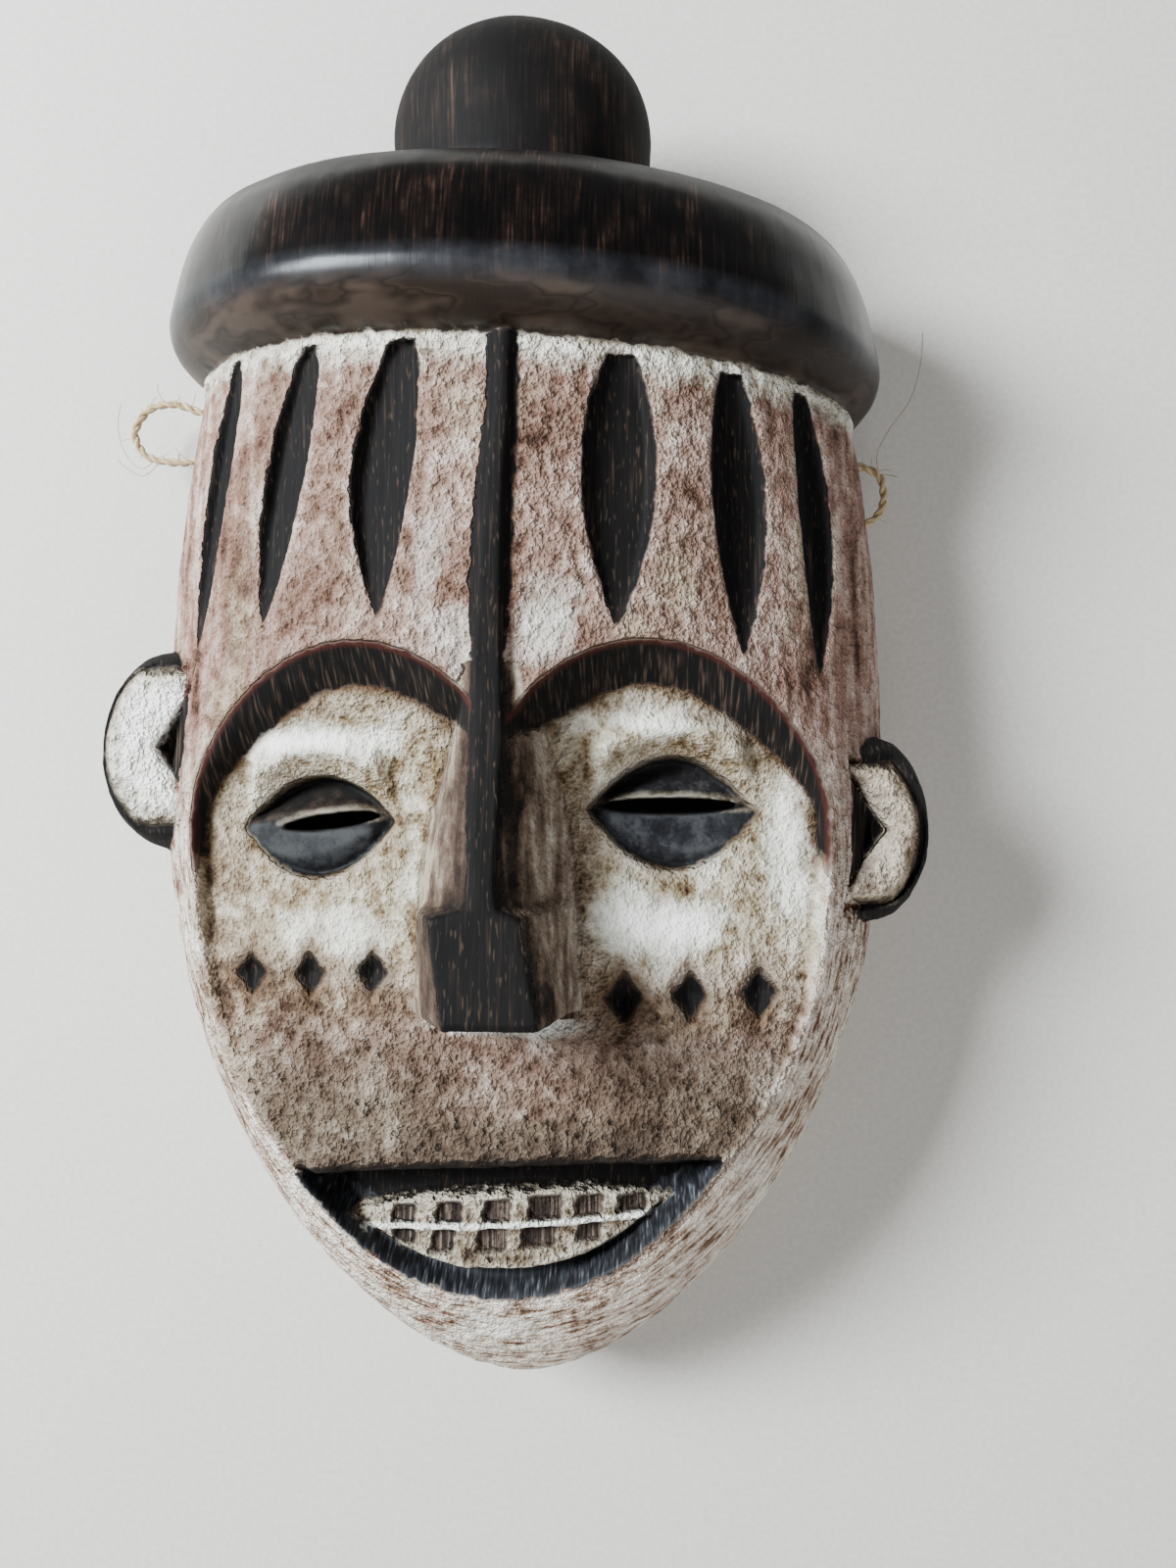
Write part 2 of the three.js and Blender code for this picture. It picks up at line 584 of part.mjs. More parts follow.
// Twine: from the left knot out and round the left loop, in and across the hollow, out and round
// the right loop, and in to the right knot.
const TWINE_ROUTE = [
  [-54, 98, 12.6], [-66, 98, 13], [-78, 98, 13], [-87, 98.6, 13], [-95, 101, 13], [-102, 99.4, 12.6],
  [-105.6, 93.6, 12.2], [-103, 88, 12.4], [-96.5, 85.7, 13], [-86, 85.6, 13], [-77, 85.6, 13],
  [-68, 85.6, 12.7], [-60, 85, 9.4], [-50, 83.6, 4.6], [-38, 81.6, 1.9], [-20, 79, 1.3], [0, 76, 1.3],
  [20, 73, 1.3], [38, 70, 1.9], [52, 67.6, 4.6], [62, 66.6, 9.4], [71, 66.4, 12.7], [78, 66.4, 13],
  [84, 66.4, 13], [89.4, 68.2, 13], [91.8, 73.4, 13], [90.4, 79.4, 13], [84.6, 82, 13], [76, 82, 13],
  [67, 82, 13], [58, 82, 12.6],
];

function twine() {
  const points = TWINE_ROUTE.map((p) => new THREE.Vector3(...p));
  const curve = new THREE.CatmullRomCurve3(points, false, 'centripetal');
  const section = new THREE.Shape();
  const sides = 8;
  const radius = TWINE_DIAMETER / 2;
  for (let i = 0; i < sides; i += 1) {
    const turn = (i / sides) * 2 * Math.PI;
    const [x, y] = [radius * Math.cos(turn), radius * Math.sin(turn)];
    if (i === 0) section.moveTo(x, y);
    else section.lineTo(x, y);
  }
  section.closePath();
  return new THREE.ExtrudeGeometry(section, { steps: 66, curveSegments: 1, extrudePath: curve });
}

function knot(end, next) {
  const away = new THREE.Vector3(...end).sub(new THREE.Vector3(...next)).normalize();
  const ball = new THREE.SphereGeometry(KNOT_RADIUS, 8, 6);
  ball.translate(...new THREE.Vector3(...end).addScaledVector(away, KNOT_RADIUS + 0.3).toArray());
  return ball;
}

function solidMesh(solid) {
  const result = solid.getMesh();
  const geometry = new THREE.BufferGeometry();
  const corners = new Float32Array((result.vertProperties.length / result.numProp) * 3);
  for (let i = 0; i < corners.length / 3; i += 1) {
    for (let axis = 0; axis < 3; axis += 1) {
      corners[i * 3 + axis] = result.vertProperties[i * result.numProp + axis];
    }
  }
  geometry.setAttribute('position', new THREE.BufferAttribute(corners, 3));
  geometry.setIndex(Array.from(result.triVerts));
  return geometry;
}

// Joining leaves a few needles and slivers: short sides are drawn together and the longest side
// of a flat triangle is turned, so that every face keeps a true height.
const SHORTEST_SIDE = 0.08;
const THINNEST_FACE = 0.03;

function withoutSlivers(geometry) {
  const merged = mergeVertices(geometry, 1e-4);
  const index = merged.index.array;
  const place = [];
  for (let i = 0; i < merged.attributes.position.count; i += 1) {
    place.push(new THREE.Vector3().fromBufferAttribute(merged.attributes.position, i));
  }
  let faces = [];
  for (let i = 0; i < index.length; i += 3) faces.push([index[i], index[i + 1], index[i + 2]]);
  const normalOf = ([a, b, c]) => (
    place[b].clone().sub(place[a]).cross(place[c].clone().sub(place[a]))
  );
  const sidesOf = ([a, b, c]) => [[a, b, c], [b, c, a], [c, a, b]]
    .sort((p, q) => place[p[0]].distanceTo(place[p[1]]) - place[q[0]].distanceTo(place[q[1]]));
  for (let pass = 0; pass < 14; pass += 1) {
    const around = place.map(() => new Set());
    faces.forEach((face, at) => face.forEach((corner) => around[corner].add(at)));
    const neighbours = (v) => new Set([...around[v]].flatMap((at) => faces[at]));
    const busy = new Set();
    let changes = 0;
    faces.forEach((face, at) => {
      if (busy.has(at)) return;
      const sides = sidesOf(face);
      const [near, far] = sides[0];
      const longest = sides[2];
      const height = normalOf(face).length() / place[longest[0]].distanceTo(place[longest[1]]);
      if (place[near].distanceTo(place[far]) < SHORTEST_SIDE) {
        const touched = [...around[near], ...around[far]];
        if (touched.some((t) => busy.has(t))) return;
        const shared = [...neighbours(near)].filter((v) => neighbours(far).has(v));
        if (shared.length !== 4) return;
        touched.forEach((t) => busy.add(t));
        for (const t of around[far]) {
          faces[t] = faces[t].map((v) => (v === far ? near : v));
        }
        changes += 1;
      } else if (height < THINNEST_FACE) {
        const [a, b, c] = longest;
        const other = [...around[a]].find((t) => t !== at && faces[t].includes(b));
        if (other === undefined || busy.has(other)) return;
        const d = faces[other].find((v) => v !== a && v !== b);
        if (neighbours(c).has(d)) return;
        const first = [a, d, c];
        const second = [d, b, c];
        const old = normalOf(faces[other]);
        if (normalOf(first).dot(old) <= 0 || normalOf(second).dot(old) <= 0) return;
        const touched = [a, b, c, d].flatMap((v) => [...around[v]]);
        if (touched.some((t) => busy.has(t))) return;
        touched.forEach((t) => busy.add(t));
        faces[at] = first;
        faces[other] = second;
        changes += 1;
      }
    });
    faces = faces.filter(([a, b, c]) => a !== b && b !== c && c !== a);
    if (changes === 0) break;
  }
  const result = new THREE.BufferGeometry();
  result.setAttribute('position', merged.attributes.position.clone());
  result.setIndex(faces.flat());
  const compact = result.toNonIndexed();
  return mergeVertices(compact, 1e-4);
}

const woodMaterial = new THREE.MeshStandardMaterial({ color: '#a8968a', roughness: 0.8, metalness: 0 });
const twineMaterial = new THREE.MeshStandardMaterial({ color: '#c4b088', roughness: 0.9, metalness: 0 });

const group = new THREE.Group();

function addPiece(name, geometry, material) {
  geometry.computeVertexNormals();
  const mesh = new THREE.Mesh(geometry, material);
  mesh.name = name;
  group.add(mesh);
  return mesh;
}

const maskMesh = addPiece('mask', withoutSlivers(solidMesh(carvedMask())), woodMaterial);
addPiece('twine', twine(), twineMaterial);
addPiece('knot_left', knot(TWINE_ROUTE[0], TWINE_ROUTE[1]), twineMaterial.clone());
addPiece('knot_right', knot(TWINE_ROUTE.at(-1), TWINE_ROUTE.at(-2)), twineMaterial.clone());

// The origin is the middle of the mask in plan, at the level of its back rim.
maskMesh.geometry.computeBoundingBox();
const middle = maskMesh.geometry.boundingBox.getCenter(new THREE.Vector3());
for (const mesh of group.children) mesh.geometry.translate(-middle.x, -middle.y, 0);

export default group;
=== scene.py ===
# %% [markdown]
# The object is a wall mask, carved from one block of soft wood, stained black on its cap, brows,
# ridge and mouth, and rubbed with white clay on its face. A twine goes through its side walls.
# The imported model is loaded first. It is the fixed frame: every piece below is made in its
# place, so that nothing has to be fitted later.

# %% Load the imported model
import math
import random

import bpy
import numpy as np
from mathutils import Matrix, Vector


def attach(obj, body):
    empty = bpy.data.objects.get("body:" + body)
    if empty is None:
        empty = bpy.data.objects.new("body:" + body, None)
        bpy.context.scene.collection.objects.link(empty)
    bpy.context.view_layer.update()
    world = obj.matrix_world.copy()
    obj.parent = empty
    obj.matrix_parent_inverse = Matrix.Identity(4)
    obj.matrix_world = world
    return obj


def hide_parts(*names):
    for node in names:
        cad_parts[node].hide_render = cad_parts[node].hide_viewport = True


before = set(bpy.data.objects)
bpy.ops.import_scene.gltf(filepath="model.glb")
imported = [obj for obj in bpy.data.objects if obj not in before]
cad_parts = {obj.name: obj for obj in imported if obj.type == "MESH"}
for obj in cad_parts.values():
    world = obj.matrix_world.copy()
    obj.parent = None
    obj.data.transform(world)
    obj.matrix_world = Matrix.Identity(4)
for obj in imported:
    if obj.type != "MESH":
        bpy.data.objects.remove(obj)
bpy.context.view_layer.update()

MM = 0.001
SHIFT_X, SHIFT_Y = 1.2, -15.7

# %% [markdown]
# The carving is drawn in millimetres about the middle line of the head, and the frame has its
# origin in the middle of the mask. One function turns the first into the second. The camera looks
# down on the lying mask from 32 cm, a little from the right, as a phone held over a table does.

# %% Places and the camera
def in_frame(points):
    """Metres in the frame, from millimetres of the carving."""
    points = np.asarray(points, float)
    return (points + np.array([SHIFT_X, SHIFT_Y, 0.0])) * MM


def in_carving(points):
    """Millimetres of the carving, from metres in the frame."""
    return np.asarray(points, float) / MM - np.array([SHIFT_X, SHIFT_Y, 0.0])


CAMERA_PLACE = (31.6, 0.0, 320.0)
CAMERA_TILT = math.radians(3)
LENS_MM, SENSOR_MM = 27.045, 36
bpy.ops.object.camera_add(location=in_frame(CAMERA_PLACE), rotation=(0, CAMERA_TILT, 0))
camera = bpy.context.object
camera.name = "view_from_above"
camera.data.lens = LENS_MM
camera.data.sensor_width = SENSOR_MM
camera.data.clip_start = 0.01
bpy.context.scene.camera = camera
print("camera at", tuple(round(v, 4) for v in camera.location))

# %% [markdown]
# Small helpers come next. Operators act on whatever is selected, so everything is deselected
# before each one. A modifier is added, set and applied in one step, so that each piece ends as
# plain mesh. Numbers go into and out of a mesh through numpy, because there are many of them.

# %% Helpers for selection, modifiers and meshes
def only(piece):
    """Select one piece alone and make it active."""
    bpy.ops.object.select_all(action="DESELECT")
    piece.select_set(True)
    bpy.context.view_layer.objects.active = piece
    return piece


def modify(piece, kind, **settings):
    """Add a modifier, give it its settings and apply it."""
    only(piece)
    modifier = piece.modifiers.new(kind.lower(), kind)
    for name, value in settings.items():
        setattr(modifier, name, value)
    bpy.ops.object.modifier_apply(modifier=modifier.name)


def corners_of(piece):
    """All corner points of a piece, in metres."""
    flat = np.empty(len(piece.data.vertices) * 3)
    piece.data.vertices.foreach_get("co", flat)
    return flat.reshape(-1, 3)


def move_corners(piece, points):
    piece.data.vertices.foreach_set("co", np.asarray(points, float).ravel())
    piece.data.update()


def triangles_of(piece):
    """Number of triangles of a piece, with every larger face cut up."""
    return sum(len(face.vertices) - 2 for face in piece.data.polygons)


def wrapped_grid(name, rings):
    """A grid primitive wrapped round into a closed solid: rings are rows x columns x 3, in mm."""
    rows, columns = rings.shape[:2]
    bpy.ops.object.select_all(action="DESELECT")
    bpy.ops.mesh.primitive_grid_add(x_subdivisions=columns, y_subdivisions=rows - 1, size=1)
    piece = bpy.context.object
    piece.name = piece.data.name = name
    seam = np.concatenate([rings, rings[:, :1]], axis=1)
    move_corners(piece, in_frame(seam.reshape(-1, 3)))
    bpy.ops.object.mode_set(mode="EDIT")
    bpy.ops.mesh.select_all(action="SELECT")
    bpy.ops.mesh.remove_doubles(threshold=1e-7)
    bpy.ops.mesh.select_all(action="DESELECT")
    bpy.ops.mesh.select_mode(type="VERT")
    bpy.ops.mesh.select_non_manifold(extend=False)
    bpy.ops.mesh.fill_holes(sides=0)
    bpy.ops.mesh.select_all(action="SELECT")
    bpy.ops.mesh.normals_make_consistent(inside=False)
    bpy.ops.object.mode_set(mode="OBJECT")
    return piece


# %% [markdown]
# The twine comes first, because the frame checks it. It is a two-ply jute string of 2.2 mm. It
# starts in a knot inside the mask, goes out and round the left loop, back in, across the hollow
# on the table, out and round the right loop, and in to a second knot. A smooth curve runs
# through the same route points as the model's cord, and two strands are wound round that curve.

# %% The twine's route
TWINE_ROUTE = [
    (-54, 98, 12.6), (-66, 98, 13), (-78, 98, 13), (-87, 98.6, 13), (-95, 101, 13),
    (-102, 99.4, 12.6), (-105.6, 93.6, 12.2), (-103, 88, 12.4), (-96.5, 85.7, 13),
    (-86, 85.6, 13), (-77, 85.6, 13), (-68, 85.6, 12.7), (-60, 85, 9.4), (-50, 83.6, 4.6),
    (-38, 81.6, 1.9), (-20, 79, 1.3), (0, 76, 1.3), (20, 73, 1.3), (38, 70, 1.9), (52, 67.6, 4.6),
    (62, 66.6, 9.4), (71, 66.4, 12.7), (78, 66.4, 13), (84, 66.4, 13), (89.4, 68.2, 13),
    (91.8, 73.4, 13), (90.4, 79.4, 13), (84.6, 82, 13), (76, 82, 13), (67, 82, 13), (58, 82, 12.6),
]


def smooth_curve(points, per_span, closed=False):
    """Centripetal Catmull-Rom curve through the points."""
    points = np.asarray(points, float)
    if closed:
        ring = np.vstack([points[-1:], points, points[:2]])
    else:
        ring = np.vstack([2 * points[0] - points[1], points, 2 * points[-1] - points[-2]])
    steps = np.linspace(0, 1, per_span, endpoint=False)[:, None]
    out = []
    for p0, p1, p2, p3 in zip(ring, ring[1:], ring[2:], ring[3:]):
        d0, d1, d2 = (max(np.linalg.norm(b - a), 1e-9) ** 0.5 for a, b in ((p0, p1), (p1, p2), (p2, p3)))
        t1 = ((p1 - p0) / d0 - (p2 - p0) / (d0 + d1) + (p2 - p1) / d1) * d1
        t2 = ((p2 - p1) / d1 - (p3 - p1) / (d1 + d2) + (p3 - p2) / d2) * d1
        a, b = 2 * p1 - 2 * p2 + t1 + t2, -3 * p1 + 3 * p2 - 2 * t1 - t2
        out.append(((a * steps + b) * steps + t1) * steps + p1)
    if not closed:
        out.append(points[-1:])
    return np.vstack(out)


def even_steps(points, step):
    """The same curve with points at equal distances."""
    along = np.concatenate([[0], np.cumsum(np.linalg.norm(np.diff(points, axis=0), axis=1))])
    wanted = np.linspace(0, along[-1], max(2, int(round(along[-1] / step)) + 1))
    return np.stack([np.interp(wanted, along, points[:, i]) for i in range(3)], axis=1), along[-1]


twine_path, twine_length = even_steps(smooth_curve(TWINE_ROUTE, 24), 0.7)
print("twine length", round(twine_length, 1), "mm,", len(twine_path), "points")

# %% [markdown]
# A strand is a tube whose middle circles the twine's middle line once in about three twine
# diameters. The frame that carries it is passed on from point to point without twisting, and
# the strand's own turn is added to it. A knot is the same two strands on a short knotted path.

# %% Strands wound round a path
STRAND_RADIUS = 0.62
STRAND_OFFSET = 0.5
TWIST_PITCH = 6.4
STRAND_SIDES = 8


def carried_frames(path):
    """Two directions across the path at each point, carried along it without twisting."""
    forward = np.gradient(path, axis=0)
    forward /= np.linalg.norm(forward, axis=1, keepdims=True)
    across = np.cross(forward[0], (0.0, 0.0, 1.0))
    if np.linalg.norm(across) < 1e-6:
        across = np.array([1.0, 0.0, 0.0])
    sides = []
    for ahead in forward:
        across = across - ahead * np.dot(across, ahead)
        across = across / np.linalg.norm(across)
        sides.append(across)
    sides = np.array(sides)
    return sides, np.cross(forward, sides)


def tube(path, radius, sides):
    """Rings of points round a path, and the faces that join them."""
    first, second = carried_frames(path)
    turns = np.linspace(0, 2 * np.pi, sides, endpoint=False)
    radius = np.broadcast_to(radius, len(path))[:, None, None]
    ring = np.cos(turns)[None, :, None] * first[:, None] + np.sin(turns)[None, :, None] * second[:, None]
    points = (path[:, None] + radius * ring).reshape(-1, 3)
    corner = np.arange(len(points)).reshape(len(path), sides)
    after = np.roll(corner, -1, axis=1)
    faces = np.stack([corner[:-1], after[:-1], after[1:], corner[1:]], axis=-1).reshape(-1, 4).tolist()
    return points, faces + [corner[0][::-1].tolist(), corner[-1].tolist()]


def piece_from_tubes(name, tubes):
    """One mesh of several tubes, with the distance along each one kept for its fibres."""
    points, faces, lengths, rounds = [], [], [], []
    start = 0
    for path, radius, sides in tubes:
        ring_points, ring_faces = tube(path, radius, sides)
        along = np.concatenate([[0], np.cumsum(np.linalg.norm(np.diff(path, axis=0), axis=1))])
        lengths.append(np.repeat(along, sides))
        rounds.append(np.tile(np.linspace(0, 1, sides, endpoint=False), len(path)))
        points.append(ring_points)
        faces += [[start + corner for corner in face] for face in ring_faces]
        start += len(ring_points)
    mesh = bpy.data.meshes.new(name)
    mesh.from_pydata(in_frame(np.vstack(points)).tolist(), [], faces)
    for label, values in (("along", np.concatenate(lengths)), ("round", np.concatenate(rounds))):
        mesh.attributes.new(label, "FLOAT", "POINT").data.foreach_set("value", values)
    piece = bpy.data.objects.new(name, mesh)
    bpy.context.collection.objects.link(piece)
    only(piece)
    bpy.ops.object.shade_smooth_by_angle(angle=math.radians(50))
    return piece


def two_ply(path):
    """The two strands of the twine round a path."""
    first, second = carried_frames(path)
    along = np.concatenate([[0], np.cumsum(np.linalg.norm(np.diff(path, axis=0), axis=1))])
    strands = []
    for phase in (0, np.pi):
        turn = (2 * np.pi * along / TWIST_PITCH + phase)[:, None]
        centre = path + STRAND_OFFSET * (np.cos(turn) * first + np.sin(turn) * second)
        swell = STRAND_RADIUS * (1 + 0.07 * np.sin(along * 1.7 + phase) + 0.05 * np.sin(along * 4.1))
        strands.append((centre, swell, STRAND_SIDES))
    return strands


twine_piece = piece_from_tubes("hanging_twine", two_ply(twine_path))
print("twine triangles", triangles_of(twine_piece))

# %% Knots at both ends
KNOT_TURN = 1.75
KNOT_WRAP = 0.95


def knot_path(end, before):
    """An overhand knot of the twine just past its end, and a short tail."""
    end, before = np.asarray(end, float), np.asarray(before, float)
    ahead = (end - before) / np.linalg.norm(end - before)
    middle = end + ahead * 2.6
    up = np.array([0.0, 0.0, 1.0])
    side = np.cross(ahead, up)
    up = np.cross(side, ahead)
    turn = np.linspace(0.4, 2 * np.pi - 0.4, 60)[:, None] - np.pi / 2
    reach = KNOT_TURN + KNOT_WRAP * np.cos(1.5 * turn)
    loop = (
        middle + reach * np.cos(turn) * side + reach * np.sin(turn) * up
        + KNOT_WRAP * np.sin(3 * turn) * ahead
    )
    tail = [loop[-1] + ahead * 1.6 + up * 0.2, loop[-1] + ahead * 3.2 - up * 0.6]
    return even_steps(np.vstack([loop, tail]), 0.5)[0]


knot_left = piece_from_tubes("left_knot", two_ply(knot_path(TWINE_ROUTE[0], TWINE_ROUTE[1])))
knot_right = piece_from_tubes("right_knot", two_ply(knot_path(TWINE_ROUTE[-1], TWINE_ROUTE[-2])))

# %% [markdown]
# Jute sheds fibres. Two long ones stand off the loops, one curling out to the left and one rising
# on the right, and a fringe of short ones makes the string look soft. Each fibre is a hair-thin
# tube that starts on the twine. Their places come from one seeded random row.

# %% Stray fibres
FIBRE_RADIUS = 0.11
SHORT_FIBRES = 46
LONG_FIBRES = [
    [(-99, 87, 12.6), (-104, 84.2, 12), (-109, 89, 11), (-110.6, 96, 11.5), (-109.4, 101.5, 12.5)],
    [(-98, 86.2, 12.6), (-103, 82, 13), (-106.5, 83.4, 13.5), (-109.5, 86, 14)],
    [(90.6, 79, 13), (90, 84.6, 13.4), (92.6, 90.4, 14), (98.2, 98.5, 15), (100.6, 108, 16),
     (100.8, 114.5, 17)],
]
random.seed(7)
fibres = [(even_steps(smooth_curve(route, 12), 0.8)[0], FIBRE_RADIUS, 4) for route in LONG_FIBRES]
loose = [i for i, p in enumerate(twine_path) if abs(p[0] + 1) > 82 and (p[0] < 0 or p[0] > 83)]
for _ in range(SHORT_FIBRES):
    start = twine_path[random.choice(loose)]
    reach = random.uniform(1.2, 4.6)
    heading = random.uniform(0, 2 * math.pi)
    lift = random.uniform(-0.3, 0.7)
    bend = random.uniform(-0.9, 0.9)
    route = []
    for step in range(5):
        share = step / 4
        turn = heading + bend * share
        offset = np.array([math.cos(turn), math.sin(turn), lift]) * reach * share
        route.append(start + offset + np.array([0.0, 0.0, 0.6]))
    fibres.append((even_steps(smooth_curve(route, 4), 0.8)[0], FIBRE_RADIUS * 0.8, 4))
fibre_piece = piece_from_tubes("stray_fibres", fibres)
print("fibres", len(fibres), "triangles", triangles_of(fibre_piece))

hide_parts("twine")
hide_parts("knot_left")
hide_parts("knot_right")
for piece in (twine_piece, knot_left, knot_right, fibre_piece):
    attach(piece, "root")

# %% [markdown]
# The head is carved the way a carver works: first the rounded block, then each cut from its
# named sizes. Each size below is the same as in the solid model, so the piece keeps its form. The
# block is described by its half width along the head, the height of its crown, and how boxy its
# section is. All functions take whole arrays, because they run on hundreds of thousands of points.

# %% The block
HEAD_HALF_WIDTH, CHIN_REACH, HEAD_TOP_LEVEL = 87.4, 145.0, 112.0
WIDEST_HEIGHT, CROWN_HEIGHT, RIM_TAPER = 30.0, 76.0, 2.6
SHOULDER_POWER = 1.65
WALL, HOLLOW_TOP_LEVEL, HOLLOW_CHIN_LEVEL = 12.0, 110.0, -128.0
HOLLOW_HEIGHT, HOLLOW_FOREHEAD_LIFT = 47.0, 17.0


def smooth_step(low, high, value):
    share = np.clip((value - low) / (high - low), 0, 1)
    return share * share * (3 - 2 * share)


def head_half_width(y):
    chin = 1 - np.clip(-y / CHIN_REACH, 0, 1) ** 2.1
    temple = np.clip(y / 97.6, 0, None) ** 2.4
    return np.where(y >= 0, HEAD_HALF_WIDTH - 9.6 * temple, HEAD_HALF_WIDTH * chin ** (1 / 1.6))


def crown_height(y):
    chin = 1 - np.clip(-y / CHIN_REACH, 0, 1) ** 3
    return WIDEST_HEIGHT + (CROWN_HEIGHT - WIDEST_HEIGHT) * chin ** (1 / 1.1)


def section_power(y):
    return 3.0 - smooth_step(-10, 45, y)


def block_height(x, y):
    """Height of the uncut block over a place in plan."""
    across = np.clip(np.abs(x) / np.maximum(head_half_width(y), 1e-3), 0, 1) ** section_power(y)
    return WIDEST_HEIGHT + (crown_height(y) - WIDEST_HEIGHT) * (1 - across) ** (1 / SHOULDER_POWER)


def block_slopes(x, y):
    """How fast the block rises towards +X and +Y."""
    step = 0.4
    rise_x = (block_height(x + step, y) - block_height(x - step, y)) / (2 * step)
    rise_y = (block_height(x, y + step) - block_height(x, y - step)) / (2 * step)
    return rise_x, rise_y


# %% [markdown]
# The face is sunk into a heart-shaped recess. Its outline is a smooth closed curve through a few
# points, and the signed distance to that curve drives everything near it: the bevel under the
# brows, the narrow wall at the sides and, later, the black paint of the brows.

# %% The heart-shaped recess
FACE_MIDDLE = -0.6
RECESS_HALF = [
    (0, 12), (7.6, 20), (18, 27.2), (31, 30.2), (44, 27.8), (56, 20.2), (66, 8.5), (71.4, -5),
    (71.2, -26), (68.6, -48), (61.8, -67), (50.5, -84), (36.5, -100.5), (20, -112.5), (0, -117.6),
]
BROW_BEVEL, SIDE_BEVEL = 8.4, 2.4
half = np.array([(x, y, 0.0) for x, y in RECESS_HALF])
mirrored = half[1:-1][::-1] * np.array([-1, 1, 1])
RECESS = smooth_curve(np.vstack([half, mirrored]) + (FACE_MIDDLE, 0, 0), 10, closed=True)[:, :2]


def inside_distance(x, y, outline):
    """Distance to a closed outline in plan, positive inside it."""
    x, y = np.asarray(x, float), np.asarray(y, float)
    nearest = np.full(x.shape, 1e9)
    inside = np.zeros(x.shape, bool)
    for (ax, ay), (bx, by) in zip(outline, np.roll(outline, -1, axis=0)):
        dx, dy = bx - ax, by - ay
        share = np.clip(((x - ax) * dx + (y - ay) * dy) / (dx * dx + dy * dy + 1e-12), 0, 1)
        nearest = np.minimum(nearest, (x - ax - share * dx) ** 2 + (y - ay - share * dy) ** 2)
        crossing = (ay > y) != (by > y)
        if abs(dy) > 1e-12:
            inside ^= crossing & (x < ax + (y - ay) * dx / dy)
    return np.where(inside, 1, -1) * np.sqrt(nearest)


def bevel_width(x, y):
    notch = 1 - np.exp(-(((x - FACE_MIDDLE) / 9) ** 2))
    return SIDE_BEVEL + (BROW_BEVEL - SIDE_BEVEL) * smooth_step(-8, 18, y) * notch


def face_height(x, y):
    """Level of the carved face without its nose, eyes and mouth."""
    across = np.abs(x - FACE_MIDDLE)
    orbit = np.exp(-(((across - 41) / 24) ** 2) - ((y + 6) / 16) ** 2)
    lift = 4.2 * smooth_step(0, 24, y) + 2 * smooth_step(56, 70, across) * smooth_step(-14, 4, y)
    lip = 1 - smooth_step(-90, -60, y)
    return 61 - 5.5 * (across / 62) ** 2.4 - 4 * orbit + lift + lip


# %% [markdown]
# Eyes, mouth and teeth are all lens shapes: two arcs that meet in both corners. One function says
# how far inside a lens a place is, and how far up between its two arcs. From these two numbers
# each feature gets its own cross-section.

# %% Lens shapes
EYES = [
    {"centre": (-43.6, -9.2), "half_width": 18.4, "rise": 11.4, "drop": 12.4, "lean": 0.04},
    {"centre": (36.6, -6.2), "half_width": 19.4, "rise": 12.6, "drop": 13.2, "lean": -0.03},
]
SLITS = [
    {"centre": (-40.9, -8.5), "half_width": 11.9, "rise": 1.7, "drop": 1.7, "lean": 0.12},
    {"centre": (36.2, -4.9), "half_width": 17.0, "rise": 1.7, "drop": 1.8, "lean": 0.0},
]
MOUTH = {"centre": (-0.6, -86.2), "half_width": 48.6, "rise": 1.2, "drop": 31.2, "lean": 0.045}
TEETH = {"centre": (-0.6, -96.6), "half_width": 37.4, "rise": 3.9, "drop": 14.4, "lean": 0.06}


def in_lens(x, y, centre, half_width, rise, drop, lean, fullness=2.0):
    """Millimetres inside the lens (negative outside), share of the way up, and place across."""
    side = (x - centre[0]) / half_width
    level = y - centre[1] - lean * (x - centre[0])
    opening = np.clip(1 - np.abs(side) ** fullness, 0, None)
    steep = fullness * np.clip(np.abs(side), 0, 1) ** (fullness - 1) / half_width
    above = (rise * opening - level) / np.sqrt(1 + (rise * steep) ** 2)
    below = (level + drop * opening) / np.sqrt(1 + (drop * steep) ** 2)
    beyond = np.clip(np.abs(side) - 1, 0, None) * half_width
    depth = np.where(beyond > 0, -np.hypot(beyond, level), np.minimum(above, below))
    up = (level + drop * opening) / ((rise + drop) * np.maximum(opening, 0.02))
    up = np.where(beyond > 0, 0.5, up)
    return depth, np.clip(up, 0, 1), side


# %% Mouth and teeth
# Middle, width and height of each notch above and below the bar between the rows.
UPPER_NOTCHES = [(-25.4, 5.4, 3.9), (-14.6, 5.8, 4.5), (-3.5, 6.0, 4.7), (7.5, 7.2, 5.2),
                 (17.5, 6.0, 4.6), (27.4, 6.2, 3.6)]
LOWER_NOTCHES = [(-24.7, 5.4, 3.0), (-15.3, 5.0, 5.0), (-3.9, 6.6, 5.2), (6.7, 7.4, 4.6), (18.2, 5.2, 3.8)]
NOTCH_DEPTH = 1.5
TEETH_BAR_LEVEL, TEETH_BAR_LEAN, TEETH_BAR_HALF = -100.3, 0.061, 0.8
SHELF_ROUNDING = 1.4


def in_notch(x, y):
    """Millimetres inside the nearest square notch between the teeth."""
    depth = np.full(np.shape(x), -9.0)
    from_bar = y - TEETH_BAR_LEVEL - TEETH_BAR_LEAN * x
    for side, notches in ((1, UPPER_NOTCHES), (-1, LOWER_NOTCHES)):
        for middle, width, height in notches:
            level = TEETH_BAR_HALF + height / 2
            slant = 0.12 * from_bar
            across = width / 2 - np.abs(x - middle - slant - 0.25 * np.sin(2.1 * y + middle))
            depth = np.maximum(depth, np.minimum(across, height / 2 - np.abs(side * from_bar - level)))
    return depth


